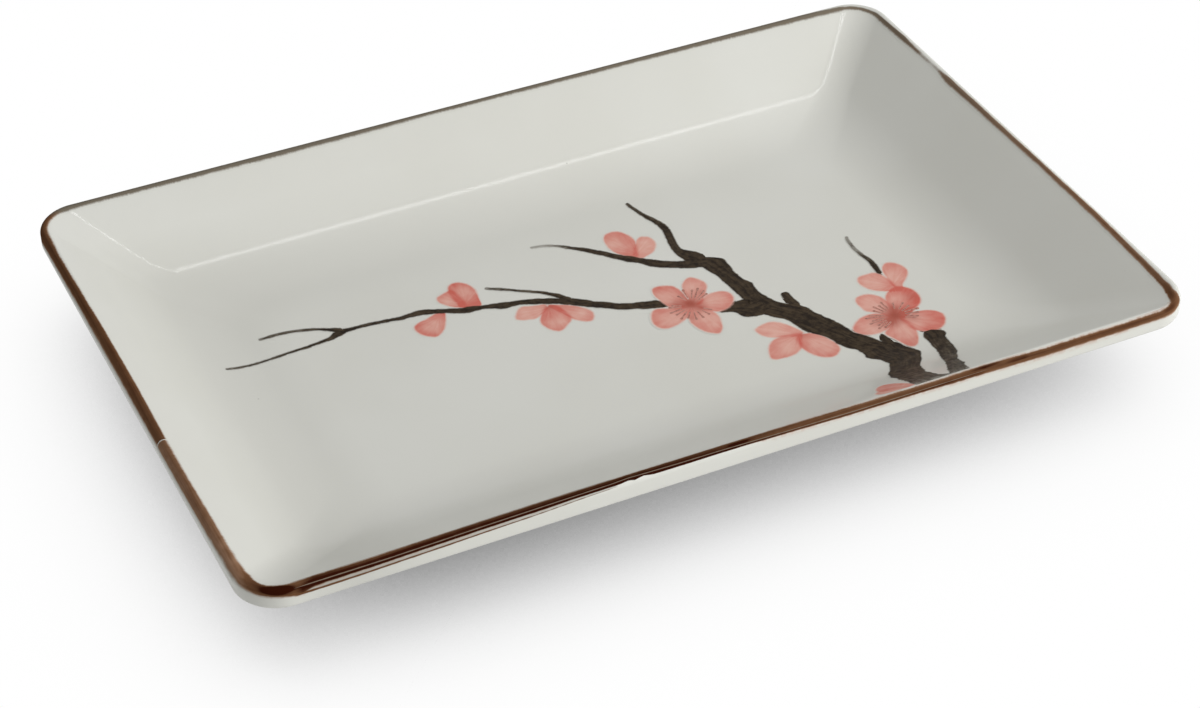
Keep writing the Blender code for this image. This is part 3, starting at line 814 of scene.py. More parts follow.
def settle(item, node, material):
    """Give a finished piece its material and body, and let it stand for its node."""
    item.data.materials.clear()
    item.data.materials.append(material)
    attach(item, "root")
    if node:
        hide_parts(node)


def lay_coat(item, thickness, target=None, lift=0.0):
    """Drop a sheet of paint onto the target, if there is one, and give the sheet its thickness."""
    start_clean()
    item.select_set(True)
    bpy.context.view_layer.objects.active = item
    if target:
        drop = item.modifiers.new("drop", "SHRINKWRAP")
        drop.target = target
        drop.wrap_method = "PROJECT"
        drop.use_project_z = True
        drop.use_positive_direction = False
        drop.use_negative_direction = True
        drop.offset = lift
    coat = item.modifiers.new("coat", "SOLIDIFY")
    coat.thickness = thickness
    coat.offset = 1.0
    for name in [modifier.name for modifier in item.modifiers]:
        bpy.ops.object.modifier_apply(modifier=name)
    bpy.ops.object.shade_smooth_by_angle(angle=SMOOTH_ANGLE)


def add_values(item, rows):
    """Store named values as attributes of the piece; each row holds the values of one vertex."""
    for name, first in rows[0].items():
        is_vector = isinstance(first, tuple)
        layer = item.data.attributes.new(name, "FLOAT_VECTOR" if is_vector else "FLOAT", "POINT")
        for point, row in zip(layer.data, rows):
            setattr(point, "vector" if is_vector else "value", row[name])


def join_pieces(name, items):
    """Join separately laid coats into one named piece."""
    start_clean()
    for item in items:
        item.select_set(True)
    bpy.context.view_layer.objects.active = items[0]
    if len(items) > 1:
        bpy.ops.object.join()
    return newest(name)


class Value:
    """What a node gives; sums, products and the like of such values add the nodes that work them out."""

    def __init__(self, socket):
        self.socket = socket
        self.tree = socket.id_data

    def calc(self, operation, first, second=0.0):
        values = {0: first, 1: second}
        return Value(add_node(self.tree, "ShaderNodeMath", values, operation=operation).outputs[0])

    def __add__(self, other):
        return self.calc("ADD", self, other)

    def __sub__(self, other):
        return self.calc("SUBTRACT", self, other)

    def __rsub__(self, other):
        return self.calc("SUBTRACT", other, self)

    def __mul__(self, other):
        return self.calc("MULTIPLY", self, other)

    def __truediv__(self, other):
        return self.calc("DIVIDE", self, other)

    def __pow__(self, other):
        return self.calc("POWER", self, other)

    def __abs__(self):
        return self.calc("ABSOLUTE", self)

    def __lt__(self, other):
        return self.calc("LESS_THAN", self, other)

    def __gt__(self, other):
        return self.calc("GREATER_THAN", self, other)

    def lower_of(self, other):
        return self.calc("MINIMUM", self, other)

    def higher_of(self, other):
        return self.calc("MAXIMUM", self, other)

    def remap(self, low, high, new_low=0.0, new_high=1.0):
        values = {"Value": self, "From Min": low, "From Max": high, "To Min": new_low, "To Max": new_high}
        return Value(add_node(self.tree, "ShaderNodeMapRange", values).outputs[0])

    def parts(self):
        """The three values of a vector."""
        return [Value(socket) for socket in add_node(self.tree, "ShaderNodeSeparateXYZ", {0: self}).outputs]

    def stretch(self, scale):
        return Value(add_node(self.tree, "ShaderNodeMapping", {"Vector": self, "Scale": scale}).outputs[0])

    def grain(self, scale=1.0, detail=3.0, roughness=0.5):
        """Noise over a place."""
        values = {"Vector": self, "Scale": scale, "Detail": detail, "Roughness": roughness}
        return Value(add_node(self.tree, "ShaderNodeTexNoise", values).outputs["Fac"])


def plug(socket, value):
    """Link a value to a socket, or set the socket to a constant."""
    if isinstance(value, Value):
        value.tree.links.new(value.socket, socket)
    else:
        socket.default_value = value


def add_node(tree, kind, values=(), **settings):
    """Shader node with its settings and with values at its inputs."""
    made = tree.nodes.new(kind)
    for key, setting in settings.items():
        setattr(made, key, setting)
    for key, value in dict(values).items():
        plug(made.inputs[key], value)
    return made


def mix(share, first, second):
    """Colour between two colours."""
    made = add_node(share.tree, "ShaderNodeMix", {0: share}, data_type="RGBA")
    for index, colour in ((6, first), (7, second)):
        plug(made.inputs[index], colour if isinstance(colour, Value) else (*colour, 1.0))
    return Value(made.outputs[2])


def object_place(tree):
    return Value(add_node(tree, "ShaderNodeTexCoord").outputs["Object"])


def stored(tree, name):
    return Value(add_node(tree, "ShaderNodeAttribute", attribute_name=name).outputs["Fac"])


def stored_vector(tree, name):
    return Value(add_node(tree, "ShaderNodeAttribute", attribute_name=name).outputs["Vector"])


def new_finish(name):
    material = bpy.data.materials.new(name)
    material.use_nodes = True
    tree = material.node_tree
    return material, tree, tree.nodes["Principled BSDF"]


def add_bump(shader, height, strength, distance):
    """Fine relief of a finish."""
    values = {"Strength": strength, "Distance": distance, "Height": height}
    plug(shader.inputs["Normal"], Value(add_node(height.tree, "ShaderNodeBump", values).outputs[0]))


def glaze_tone(tree, finish):
    """White glaze: slow drifts of tone, painted shade that greys the hollow towards the left, a few iron
    specks.
    """
    place = object_place(tree)
    drift = place.grain(scale=22.0, detail=2.0).remap(0.35, 0.65)
    tone = mix(drift, finish.glaze, finish.glaze_warm)
    x, y, _ = place.parts()
    inset = (x + HALF_LENGTH).lower_of(HALF_WIDTH - y)
    # Painted shade: the glaze turns greyer in the hollow between wall and floor, fading out towards the right
    shaded_hollow = inset.remap(0.010, 0.021) * inset.remap(0.042, 0.024)
    tone = mix(shaded_hollow * x.remap(0.03, -0.085), tone, finish.glaze_painted_shade)
    cells = add_node(tree, "ShaderNodeTexVoronoi", {"Vector": place, "Scale": 260.0}).outputs
    speck = (Value(cells["Distance"]) < 0.05) * (Value(cells["Color"]) > 0.93)
    return mix(speck * 0.35, tone, finish.bark_brown)


def glaze_surface(tree, shader):
    """Gloss of the glaze: a broad sheen with a slight ripple, under a thin clear gloss."""
    place = object_place(tree)
    ripple = place.grain(scale=70.0, detail=1.0)
    skin = place.grain(scale=900.0, detail=2.0)
    add_bump(shader, ripple + skin * 0.02, strength=0.12, distance=0.4 * MM)
    plug(shader.inputs["Roughness"], place.grain(scale=40.0, detail=2.0).remap(0.3, 0.7, 0.40, 0.50))
    for socket, level in GLAZE_GLOSS.items():
        shader.inputs[socket].default_value = level


def paint_surface(tree, shader):
    """Fired paint: duller than the glaze, with a fine tooth."""
    place = object_place(tree)
    plug(shader.inputs["Roughness"], place.grain(scale=700.0, detail=2.0).remap(0.3, 0.7, 0.42, 0.58))
    add_bump(shader, place.grain(scale=2400.0, detail=2.0), strength=0.08, distance=0.04 * MM)
    shader.inputs["Specular IOR Level"].default_value = 0.05


def white_glaze(finish):
    material, tree, shader = new_finish("white_glaze")
    plug(shader.inputs["Base Color"], glaze_tone(tree, finish))
    glaze_surface(tree, shader)
    return material


def standing_ring_finish(finish):
    """Glazed sides that end in bare, slightly sandy porcelain at the standing edge."""
    material, tree, shader = new_finish("standing_ring")
    place = object_place(tree)
    wander = (place.grain(scale=120.0) - 0.5) * (0.9 * MM)
    level = place.parts()[2] + wander
    bare = level.remap(BARE_HEIGHT * 1.08, BARE_HEIGHT * 0.92)
    sand = place.grain(scale=2600.0, detail=4.0).remap(0.3, 0.7, 0.86, 1.06)
    clay = add_node(tree, "ShaderNodeVectorMath", {0: finish.clay, "Scale": sand}, operation="SCALE")
    plug(shader.inputs["Base Color"], mix(bare, glaze_tone(tree, finish), Value(clay.outputs[0])))
    plug(shader.inputs["Roughness"], bare.remap(0.0, 1.0, 0.1, 0.72))
    add_bump(shader, sand, strength=bare.remap(0.0, 1.0, 0.0, 0.5), distance=0.06 * MM)
    return material


def brown_line(finish):
    """Brown lip line: soft or crisp at its edges, dark where it gathered, with a thin second pass below."""
    material, tree, shader = new_finish("brown_line")
    brush = stored_vector(tree, "brush")
    along, across, _ = brush.parts()
    inner, outer, ink = stored_vector(tree, "edges").parts()
    inner_end, outer_end, gather = stored_vector(tree, "ends").parts()
    pass_place, pass_half, pass_strength = stored_vector(tree, "lower_pass").parts()
    # Place and half width of the painted highlight streak, and reach of the fringe
    highlight_place, highlight_half, fringe = stored_vector(tree, "highlight_and_fringe").parts()
    streak = brush.stretch((0.06, 2.4, 1.0)).grain() - 0.5
    hair = brush.stretch((2.2, 0.3, 1.0)).grain(detail=2.0) - 0.5
    cloud = brush.stretch((0.5, 0.8, 1.0)).grain() - 0.5

    from_inner = across - inner + (hair + cloud) * 0.45 * inner_end
    from_outer = outer - across + cloud * 0.6 * outer_end
    cover = from_inner.remap(0.0, inner_end) * from_outer.remap(0.0, outer_end)

    away = abs((across - inner) / (outer - inner) - gather)
    gathered = ink * away.remap(0.06, 0.60, 1.0, 0.42)
    uneven = streak * 0.42 + cloud * 0.16
    below_highlight = (across - highlight_place).remap(0.0, 0.12, 0.0, 0.30) * highlight_half.remap(0.0, 0.08)
    load = gathered + uneven + stored(tree, "pool") + below_highlight
    load = load * cover.remap(0.0, 1.0, 0.4, 1.0)
    brown = mix(load.remap(0.25, 0.52), finish.line_thin, finish.line_brown)
    brown = mix(load.remap(0.58, 1.0), brown, finish.line_dark)
    far_side = along.remap(*GREY_FROM, 0.0, 0.85) * along.remap(*GREY_UNTIL, 1.0, 0.0)
    brown = mix(far_side, brown, finish.line_grey)
    # Painted highlight: a thin paler streak along the line, where a lamp's reflection would lie
    off_highlight = abs(across - highlight_place) + cloud * 0.10
    brown = mix(off_highlight.remap(highlight_half, highlight_half * 0.3), brown, finish.line_painted_highlight)

    beyond = (across - outer).remap(fringe, 0.0, 0.0, 0.9)
    patch = cloud.remap(-0.06, 0.06, 0.35, 1.0)
    stain = mix(beyond * patch, glaze_tone(tree, finish), finish.line_wash)
    gap = pass_strength * (pass_place - across).remap(0.0, 0.15)
    stain = mix(gap * 0.42, stain, finish.line_grey)
    painted = mix(cover.remap(0.0, 0.6), stain, brown)
    off_pass = abs(across - pass_place) + cloud * 0.22 - pass_half
    second = off_pass.remap(0.06, -0.10) * pass_strength
    plug(shader.inputs["Base Color"], mix(second, painted, finish.line_brown))
    plug(shader.inputs["Roughness"], cloud.remap(-0.2, 0.2, 0.24, 0.32))
    shader.inputs["Specular IOR Level"].default_value = 0.0
    return material


def bark_ink(finish):
    """Dark branch: mottled brush marks that thin out to the glaze where the ink runs out and at the edges."""
    material, tree, shader = new_finish("bark_ink")
    brush = stored_vector(tree, "brush")
    streak = brush.stretch((150.0, 1100.0, 1.0)).grain(detail=4.0, roughness=0.6)
    mottle = object_place(tree).grain(scale=620.0, detail=4.0, roughness=0.6)
    load = streak * 0.48 + mottle * 0.52
    tone = mix(load.remap(0.42, 0.60), finish.bark_dark, finish.bark_brown)
    dry = load + (1.0 - stored(tree, "ink")) * 0.85
    worn = mix(dry.remap(0.62, 0.98), tone, finish.bark_thin)
    wash = mix(dry.remap(0.80, 1.35, 0.0, 0.8), worn, glaze_tone(tree, finish))
    fray = (mottle - 0.5) * (0.5 * MM)
    inside = brush.parts()[2] + fray
    soft = inside.remap(0.0, BARK_MARGINS * STROKE_MARGIN * MM)
    plug(shader.inputs["Base Color"], mix(soft, washed_glaze(tree, finish), wash))
    paint_surface(tree, shader)
    return material


def washed_glaze(tree, finish):
    """Glaze or bark under a pink wash, which is pale in the middle, fuller outwards and soft at its rim."""
    vein = stored_vector(tree, "vein").stretch((9.0, 9.0, 0.22)).grain()
    cloud = object_place(tree).grain(scale=420.0)
    tooth = object_place(tree).grain(scale=1500.0, detail=2.0)
    uneven = vein * 0.5 + cloud * 0.5
    full = stored(tree, "depth") + (uneven - 0.5) * 0.75
    pink = mix(full.remap(0.08, 0.82), finish.petal_pale, finish.petal_deep)
    pink = mix(stored(tree, "heart"), pink, finish.petal_heart)
    ragged = cloud + (tooth - 1.0)
    soft = (stored(tree, "cover") + ragged * 0.35).remap(0.05, 0.85)
    dark = blend(finish.bark_dark, finish.bark_brown, 0.5)
    ground = mix(stored(tree, "bark"), glaze_tone(tree, finish), dark)
    return mix(soft, ground, pink)


def petal_wash(finish):
    """Pink wash of the blossoms and buds."""
    material, tree, shader = new_finish("petal_wash")
    plug(shader.inputs["Base Color"], washed_glaze(tree, finish))
    paint_surface(tree, shader)
    return material


def stamen_ink(finish):
    """Fine grey-brown strokes, uneven where the brush lifted and blurred into the petals at their edges."""
    material, tree, shader = new_finish("stamen_ink")
    uneven = object_place(tree).grain(scale=1800.0, detail=2.0).remap(0.35, 0.65)
    stroke = mix(uneven, finish.stamen, blend(finish.stamen, finish.petal_pale, 0.45))
    inside = stored_vector(tree, "brush").parts()[2]
    soft = inside.remap(0.0, STAMEN_MARGINS * STAMEN_MARGIN * MM)
    under = blend(finish.petal_pale, finish.petal_deep, 0.55)
    plug(shader.inputs["Base Color"], mix(soft, under, stroke))
    paint_surface(tree, shader)
    return material


Stop = namedtuple("Stop", "centre across width ink travelled")


def stroke_course(points, upright):
    """Even stops along a smooth curve through a stroke's points, in metres."""
    ends = [points[0], *points, points[-1]]
    course = []
    for before, start, end, after in zip(ends, ends[1:], ends[2:], ends[3:]):
        steps = max(2, round(math.dist(start[:2], end[:2]) * MM / STROKE_PITCH))
        for step in range(steps):
            course.append([smooth_curve(*four, step / steps) for four in zip(before, start, end, after)])
    course.append(points[-1])
    stops = []
    travelled = 0.0
    for index, (x, y, width, ink) in enumerate(course):
        before = course[max(index - 1, 0)]
        after = course[min(index + 1, len(course) - 1)]
        heading = Vector((after[0] - before[0], after[1] - before[1])).normalized()
        if upright:
            heading = Vector((0, 1))
        travelled += math.dist((x, y), before[:2]) * MM
        stops.append(Stop(Vector((x, y)) * MM, Vector((-heading.y, heading.x)), width * MM, ink, travelled))
    return stops


def is_upright(name, index):
    return name in UPRIGHT and index == 0


class Branch:
    """The whole painting, for edges where one stroke runs into another or meets a petal."""

    def __init__(self):
        self.rounds = []
        for name, strokes in STROKES.items():
            for index, points in enumerate(strokes):
                for stop in stroke_course(points, is_upright(name, index)):
                    self.rounds.append((f"{name}_{index}", stop.centre.to_3d(), stop.width / 2))
        self.widest = max(half for _, _, half in self.rounds)
        self.tree = kdtree.KDTree(len(self.rounds))
        for order, (_, centre, _) in enumerate(self.rounds):
            self.tree.insert(centre, order)
        self.tree.balance()
        self.washes = painted_petals()

    def depth(self, place, apart_from=None):
        """How deep a place lies in the strokes, apart from a named one; below zero outside them."""
        depth = -self.widest
        for _, order, distance in self.tree.find_range(place.to_3d(), self.widest):
            owner, _, half = self.rounds[order]
            if owner != apart_from:
                depth = max(depth, half - distance)
        return depth


def stroke_sheet(name, points, seed, margin, upright=False, branch=None):
    """Grid primitive drawn out to one brush stroke, with uneven edges and a soft margin round them."""
    course = stroke_course(points, upright)
    widest = max(width for _, _, width, _ in points)
    rows = max(FEWEST_ROWS, round(widest * MM / STROKE_PITCH))
    start_clean()
    bpy.ops.mesh.primitive_grid_add(x_subdivisions=len(course) - 1, y_subdivisions=rows, size=1)
    item = newest(name)
    painted = []
    for vert in item.data.vertices:
        stop = course[round((vert.co.x + 0.5) * (len(course) - 1))]
        side = vert.co.y * 2
        half = stop.width / 2
        for waves, share, least, change, layer in STROKE_EDGES:
            swing = noise.noise(Vector((stop.travelled / MM * waves, seed + change * (side > 0), layer)))
            half += (share * stop.width + least * MM) * swing
        tip = course[-1].travelled - stop.travelled
        if not upright:
            tip = min(tip, stop.travelled)
        half *= math.sqrt(min(1.0, (tip + TIP_START * stop.width) / (TIP_LENGTH * stop.width)))
        half += margin * MM
        place = stop.centre + stop.across * (side * half)
        inside = (1 - abs(side)) * half
        cover, depth = 0.0, 0.0
        if branch and inside < HEED_MARGINS * margin * MM:
            inside = max(inside, branch.depth(place, apart_from=name))
            cover, depth = petal_paint(place / MM, branch.washes)
        vert.co = (place.x, place.y, DROP_HEIGHT)
        brush = (stop.travelled, side * half, inside)
        painted.append({"brush": brush, "ink": stop.ink, "cover": cover, "depth": depth})
    add_values(item, painted)
    return item


def petal_outline(points):
    """Closed smooth curve through a petal's outline."""
    curve = []
    for index in range(len(points)):
        four = [Vector(points[(index + shift) % len(points)]) for shift in (-1, 0, 1, 2)]
        curve += [smooth_curve(*four, step / OUTLINE_STEPS) for step in range(OUTLINE_STEPS)]
    return curve


def reach_table(curve, centre):
    """Distance from a centre to the far side of a closed curve, for every step of a full turn."""
    table = [0.0] * TURN_STEPS
    for first, second in zip(curve, curve[1:] + curve[:1]):
        start = first - Vector(centre)
        chord = second - first
        from_step = math.atan2(start.y, start.x) / TURN
        change = math.atan2(start.x * chord.y - start.y * chord.x, start.dot(start + chord)) / TURN
        low, high = sorted((from_step * TURN_STEPS, (from_step + change) * TURN_STEPS))
        for step in range(math.ceil(low), math.floor(high) + 1):
            angle = step / TURN_STEPS * TURN
            facing = chord.y * math.cos(angle) - chord.x * math.sin(angle)
            if facing:
                distance = (start.x * chord.y - start.y * chord.x) / facing
                table[step % TURN_STEPS] = max(table[step % TURN_STEPS], distance)
    return table


def read_table(table, angle):
    place = angle / TURN * TURN_STEPS
    step = math.floor(place)
    return blend(table[step % TURN_STEPS], table[(step + 1) % TURN_STEPS], place - step)


def painted_petals():
    """Every petal of the painting as strength of the wash, palest place and the outline's reach round it."""
    washes = []
    for _, petals in BLOSSOMS.values():
        for strength, pale, points in petals:
            washes.append((strength, pale, reach_table(petal_outline(points), pale)))
    return washes


def petal_paint(place, petals):
    """Cover and depth of the wash at a place: palest at each petal's pale place, gathered at its edge."""
    cover = 0.0
    clear = 1.0
    for strength, pale, table in petals:
        offset = place - Vector(pale)
        if offset.length > WIDEST_PETAL:
            continue
        edge = max(read_table(table, math.atan2(offset.y, offset.x)), SMALLEST_EDGE)
        out = offset.length / edge
        inside = 1.0 - smooth_step(1.0 - FADE_IN / edge, 1.0 + FADE_OUT / edge, out)
        cover = max(cover, inside)
        full = smooth_step(0.0, FULL_AFTER, offset.length)
        full = blend(full, smooth_step(EDGE_START, 1.0, out), EDGE_SHARE)
        clear *= 1.0 - inside * strength * blend(PALE_DEPTH, FULL_DEPTH, full)
    return cover, 1.0 - clear


def heart_strength(place, hearts):
    clear = 1.0
    for x, y, spread, strength in hearts:
        clear *= 1.0 - strength * math.exp(-((place - Vector((x, y))).length_squared) / spread**2)
    return 1.0 - clear


def blossom_sheet(name, centre, petals, hearts, branch):
    """Circle primitive drawn out to the outline of overlapping petals, with the wash stored on it."""
    start_clean()
    bpy.ops.mesh.primitive_circle_add(vertices=PETAL_SPOKES, radius=1 / PETAL_RINGS, fill_type="TRIFAN")
    item = newest(name)
    bpy.ops.object.mode_set(mode="EDIT")
    bpy.ops.mesh.region_to_loop()
    for ring in range(2, PETAL_RINGS + 1):
        bpy.ops.mesh.extrude_edges_indiv()
        scale = ring / (ring - 1)
        bpy.ops.transform.resize(value=(scale, scale, 1), center_override=(0, 0, 0))
    bpy.ops.object.mode_set(mode="OBJECT")
    outer = [SMALL_REACH] * TURN_STEPS
    for _, _, points in petals:
        outer = [max(pair) for pair in zip(outer, reach_table(petal_outline(points), centre))]
    painted = []
    for vert in item.data.vertices:
        angle = math.atan2(vert.co.y, vert.co.x)
        heading = Vector((math.cos(angle), math.sin(angle)))
        reach = vert.co.xy.length * (read_table(outer, angle) + PETAL_MARGIN)
        place = Vector(centre) + heading * reach
        cover, depth = petal_paint(place, branch.washes)
        heart = heart_strength(place, hearts)
        painted.append({
            "cover": max(cover, min(1.0, HEART_COVER * heart)),
            "depth": max(depth, heart),
            "heart": heart,
            "vein": (heading.x, heading.y, reach),
            "bark": smooth_step(0.0, BARK_EDGE, branch.depth(place * MM) / MM),
        })
        vert.co = (place.x * MM, place.y * MM, DROP_HEIGHT)
    add_values(item, painted)
    return item


def stamen_sheet(name, centre, stamen, seed):
    """One curved filament with the dab at its end."""
    direction, start, end = stamen
    bend = STAMEN_BEND * noise.noise(Vector((seed, 0.5, 2.0)))
    points = []
    for share, width in STAMEN_WIDTHS:
        angle = math.radians(direction + bend * share)
        reach = blend(start, end, share)
        points.append((centre[0] + reach * math.cos(angle), centre[1] + reach * math.sin(angle), width, 1.0))
    return stroke_sheet(name, points, seed, STAMEN_MARGIN)


def lip_place(shape, section, across, lift):
    """Inset and height on the lip: across runs from the wall's top (0) over the crown, in metres."""
    turn = RIGHT + shape.wall_slope
    crown = shape.lip_radius * turn
    if across < 0:
        inset = section.wall_top_inset - across * section.cos + lift * section.sin
        return inset, section.wall_top_height + across * section.sin + lift * section.cos
    if across > crown:
        return -lift, section.lip_height - (across - crown)
    angle = RIGHT - shape.wall_slope + turn * across / crown
    radius = shape.lip_radius + lift
    return section.lip_inset + radius * math.cos(angle), section.lip_height + radius * math.sin(angle)


def rim_course(shape):
    """Walk round the rim from the break on the left: places on the outer face and its outward turn there."""
    corner = shape.rim_corner
    side_x = HALF_LENGTH - corner
    side_y = HALF_WIDTH - corner
    stops = (
        (-HALF_LENGTH, BREAK_PLACE - shape.line_break / 2, 2 * RIGHT),
        (-HALF_LENGTH, -side_y, 2 * RIGHT),
        (-side_x, -HALF_WIDTH, 3 * RIGHT),
        (side_x, -HALF_WIDTH, 3 * RIGHT),
        (HALF_LENGTH, -side_y, 4 * RIGHT),
        (HALF_LENGTH, side_y, 4 * RIGHT),
        (side_x, HALF_WIDTH, 5 * RIGHT),
        (-side_x, HALF_WIDTH, 5 * RIGHT),
        (-HALF_LENGTH, side_y, 6 * RIGHT),
        (-HALF_LENGTH, BREAK_PLACE + shape.line_break / 2, 6 * RIGHT),
    )
    course = []
    for (from_x, from_y, from_turn), (x, y, turn) in zip(stops, stops[1:]):
        if turn == from_turn:
            steps = max(1, round(math.dist((from_x, from_y), (x, y)) / LINE_PITCH))
            for step in range(steps):
                share = step / steps
                course.append((blend(from_x, x, share), blend(from_y, y, share), turn))
        else:
            centre_x = math.copysign(side_x, from_x + x)
            centre_y = math.copysign(side_y, from_y + y)
            for step in range(CORNER_SEGMENTS):
                angle = blend(from_turn, turn, step / CORNER_SEGMENTS)
                x_there = centre_x + corner * math.cos(angle)
                y_there = centre_y + corner * math.sin(angle)
                course.append((x_there, y_there, angle))
    course.append(stops[-1])
    return course


def read_rows(rows, place):
    """Values of a given table at a place along it, straight between its rows."""
    for before, after in zip(rows, rows[1:]):
        if place <= after[0]:
            share = max(0.0, (place - before[0]) / (after[0] - before[0]))
            return [blend(a, b, share) for a, b in zip(before[1:], after[1:])]
    return list(rows[-1][1:])


def pooled(along, across):
    """How much colour gathered at a place on the lip line, in millimetres."""
    most = 0.0
    for place, height, reach, spread, strength in LINE_POOLS:
        away = ((along - place) / reach) ** 2 + ((across - height) / spread) ** 2
        most = max(most, strength * math.exp(-(away**2)))
    return most


def drifted(along, drift):
    """Wandering of an edge at a length along the line."""
    swing, waves, seed = drift
    return swing * noise.noise(Vector((along * waves, seed, 0.0)))


def glaze_height(dish, x, y):
    """Height of the dish's upper surface at a plan place."""
    return dish.ray_cast(Vector((x, y, DROP_HEIGHT)), Vector((0, 0, -1)))[1].z


class PlateOperator:
    """Shared settings of the plate's operators."""

    bl_options = {"REGISTER", "UNDO"}

    @staticmethod
    def coat_target():
        return bpy.data.objects["glazed_dish"]


class PLATE_OT_mould_dish(PlateOperator, bpy.types.Operator):
    """Mould the glazed dish: floor, fillet, wall, lip and outside"""

    bl_idname = "plate.mould_dish"
    bl_label = "Mould the dish"

    def execute(self, context):
        shape = context.scene.plate_shape
        slope = shape.wall_slope
        section = Section(shape)
        floor = Ring(section.floor_inset, section.floor_height, shape.floor_corner)
        rings = [floor]
        for step in range(1, FILLET_RINGS + 1):
            angle = slope * step / FILLET_RINGS
            inset = section.floor_inset - shape.floor_fillet * math.sin(angle)
            height = section.floor_height + shape.floor_fillet * (1 - math.cos(angle))
            corner = blend(shape.floor_corner, shape.wall_corner, step / FILLET_RINGS)
            rings.append(Ring(inset, height, corner))
        for step in range(1, WALL_RINGS):
            share = step / WALL_RINGS
            inset = blend(shape.wall_reach, section.wall_top_inset, share)
            height = blend(section.wall_end_height, section.wall_top_height, share)
            corner = blend(shape.wall_corner, shape.rim_corner - section.wall_top_inset, share)
            rings.append(Ring(inset, height, corner))
        lip_start = RIGHT - slope
        lip = arc(section.lip_inset, section.lip_height, shape.lip_radius, lip_start, 2 * RIGHT, LIP_RINGS)
        rings += [Ring(inset, height, shape.rim_corner - inset) for inset, height in lip]
        rounding = shape.edge_rounding
        edge_drop = shape.wall_thickness - rounding
        edge_drop += (rounding - section.wall_top_inset) * section.sin
        edge_height = section.wall_top_height - edge_drop / section.cos
        edge_end = 3 * RIGHT - slope
        outside = arc(rounding, edge_height, rounding, 2 * RIGHT, edge_end, EDGE_RINGS)
        fillet_height = section.floor_height + shape.floor_fillet
        outside += arc(
            section.floor_inset, fillet_height, section.outer_radius, edge_end, 3 * RIGHT, FILLET_RINGS
        )
        rings += [Ring(inset, height, shape.rim_corner) for inset, height in outside]

        item = start_outline("glazed_dish", floor)
        grow(item, rings)
        bpy.ops.mesh.edge_face_add()
        close_piece(item)
        settle(item, "dish", white_glaze(context.scene.plate_finish))
        return {"FINISHED"}


class PLATE_OT_add_foot(PlateOperator, bpy.types.Operator):
    """Add the standing ring under the floor"""

    bl_idname = "plate.add_foot"
    bl_label = "Add the standing ring"

    def execute(self, context):
        shape = context.scene.plate_shape
        section = Section(shape)
        flare = FOOT_FLARE
        rounding = shape.foot_rounding
        run = section.floor_inset - FOOT_INSET + flare
        rise = section.outer_radius - math.sqrt(section.outer_radius**2 - run**2)
        outer_top = section.underside + rise + FOOT_BURY
        inner_top = section.underside + FOOT_BURY
        inner_inset = FOOT_INSET + shape.foot_width
        outer_foot = FOOT_INSET + shape.foot_taper + rounding
        inner_foot = inner_inset - shape.foot_taper - rounding
        points = arc(FOOT_INSET - flare, outer_top - flare, flare, RIGHT, 0, EDGE_RINGS)
        points += arc(outer_foot, rounding, rounding, 2 * RIGHT, 3 * RIGHT, EDGE_RINGS)
        points += arc(inner_foot, rounding, rounding, 3 * RIGHT, 4 * RIGHT, EDGE_RINGS)
        points += arc(inner_inset + flare, inner_top - flare, flare, 2 * RIGHT, RIGHT, EDGE_RINGS)
        widest = shape.foot_corner + FOOT_INSET
        rings = [Ring(inset, height, widest - inset) for inset, height in points]

        item = start_outline("standing_ring", rings[0])
        bpy.ops.mesh.select_all(action="SELECT")
        bpy.ops.mesh.delete(type="ONLY_FACE")
        bpy.ops.mesh.select_all(action="SELECT")
        grow(item, rings)
        select_verts(item, [vert for vert in bmesh.from_edit_mesh(item.data).verts if vert.is_boundary])
        bpy.ops.mesh.bridge_edge_loops()
        close_piece(item)
        settle(item, "foot_ring", standing_ring_finish(context.scene.plate_finish))
        return {"FINISHED"}


class PLATE_OT_brush_line(PlateOperator, bpy.types.Operator):
    """Brush the brown line round the lip"""

    bl_idname = "plate.brush_line"
    bl_label = "Brush the lip line"

    def execute(self, context):
        shape = context.scene.plate_shape
        section = Section(shape)
        course = rim_course(shape)
        lengths = [0.0]
        for (x, y, _), (next_x, next_y, _) in zip(course, course[1:]):
            lengths.append(lengths[-1] + math.dist((x, y), (next_x, next_y)))
        context.view_layer.update()
        start_clean()
        bpy.ops.mesh.primitive_grid_add(x_subdivisions=len(course) - 1, y_subdivisions=LINE_ROWS, size=1)
        item = newest("lip_line")
        painted = []
        for vert in item.data.vertices:
            index = round((vert.co.x + 0.5) * (len(course) - 1))
            x, y, turn = course[index]
            along = lengths[index] / MM
            inner, outer, inner_end, outer_end, ink, gather = read_rows(LIP_LINE, along)
            pass_place, pass_width = read_rows(LOWER_PASS, along)
            pass_strength = float(LOWER_PASS[0][0] < along < LOWER_PASS[-1][0])
            # Painted highlight streak along the front
            highlight_place, highlight_width = read_rows(PAINTED_HIGHLIGHT, along)
            fringe = read_rows(FRINGE, along)[0]
            highest = inner - LINE_OVERRUN * inner_end - LINE_MARGIN
            lowest = max(outer + LINE_OVERRUN * outer_end + fringe, (pass_place + pass_width) * pass_strength)
            across = blend(highest, lowest + LINE_MARGIN, 0.5 - vert.co.y)
            inset, height = lip_place(shape, section, across * MM, LINE_LIFT)
            x -= inset * math.cos(turn)
            y -= inset * math.sin(turn)
            if across < 0:
                height = glaze_height(self.coat_target(), x, y) + LINE_LIFT
            vert.co = (x, y, height)
            painted.append({
                "brush": (along, across, 0.0),
                "edges": (inner + drifted(along, INNER_DRIFT), outer + drifted(along, OUTER_DRIFT), ink),
                "ends": (inner_end, outer_end, gather),
                "lower_pass": (pass_place, pass_width / 2, pass_strength),
                "highlight_and_fringe": (highlight_place, highlight_width / 2, fringe),
                "pool": pooled(along, across),
            })
        add_values(item, painted)
        lay_coat(item, LINE_COAT)
        settle(item, "rim_line", brown_line(context.scene.plate_finish))
        return {"FINISHED"}


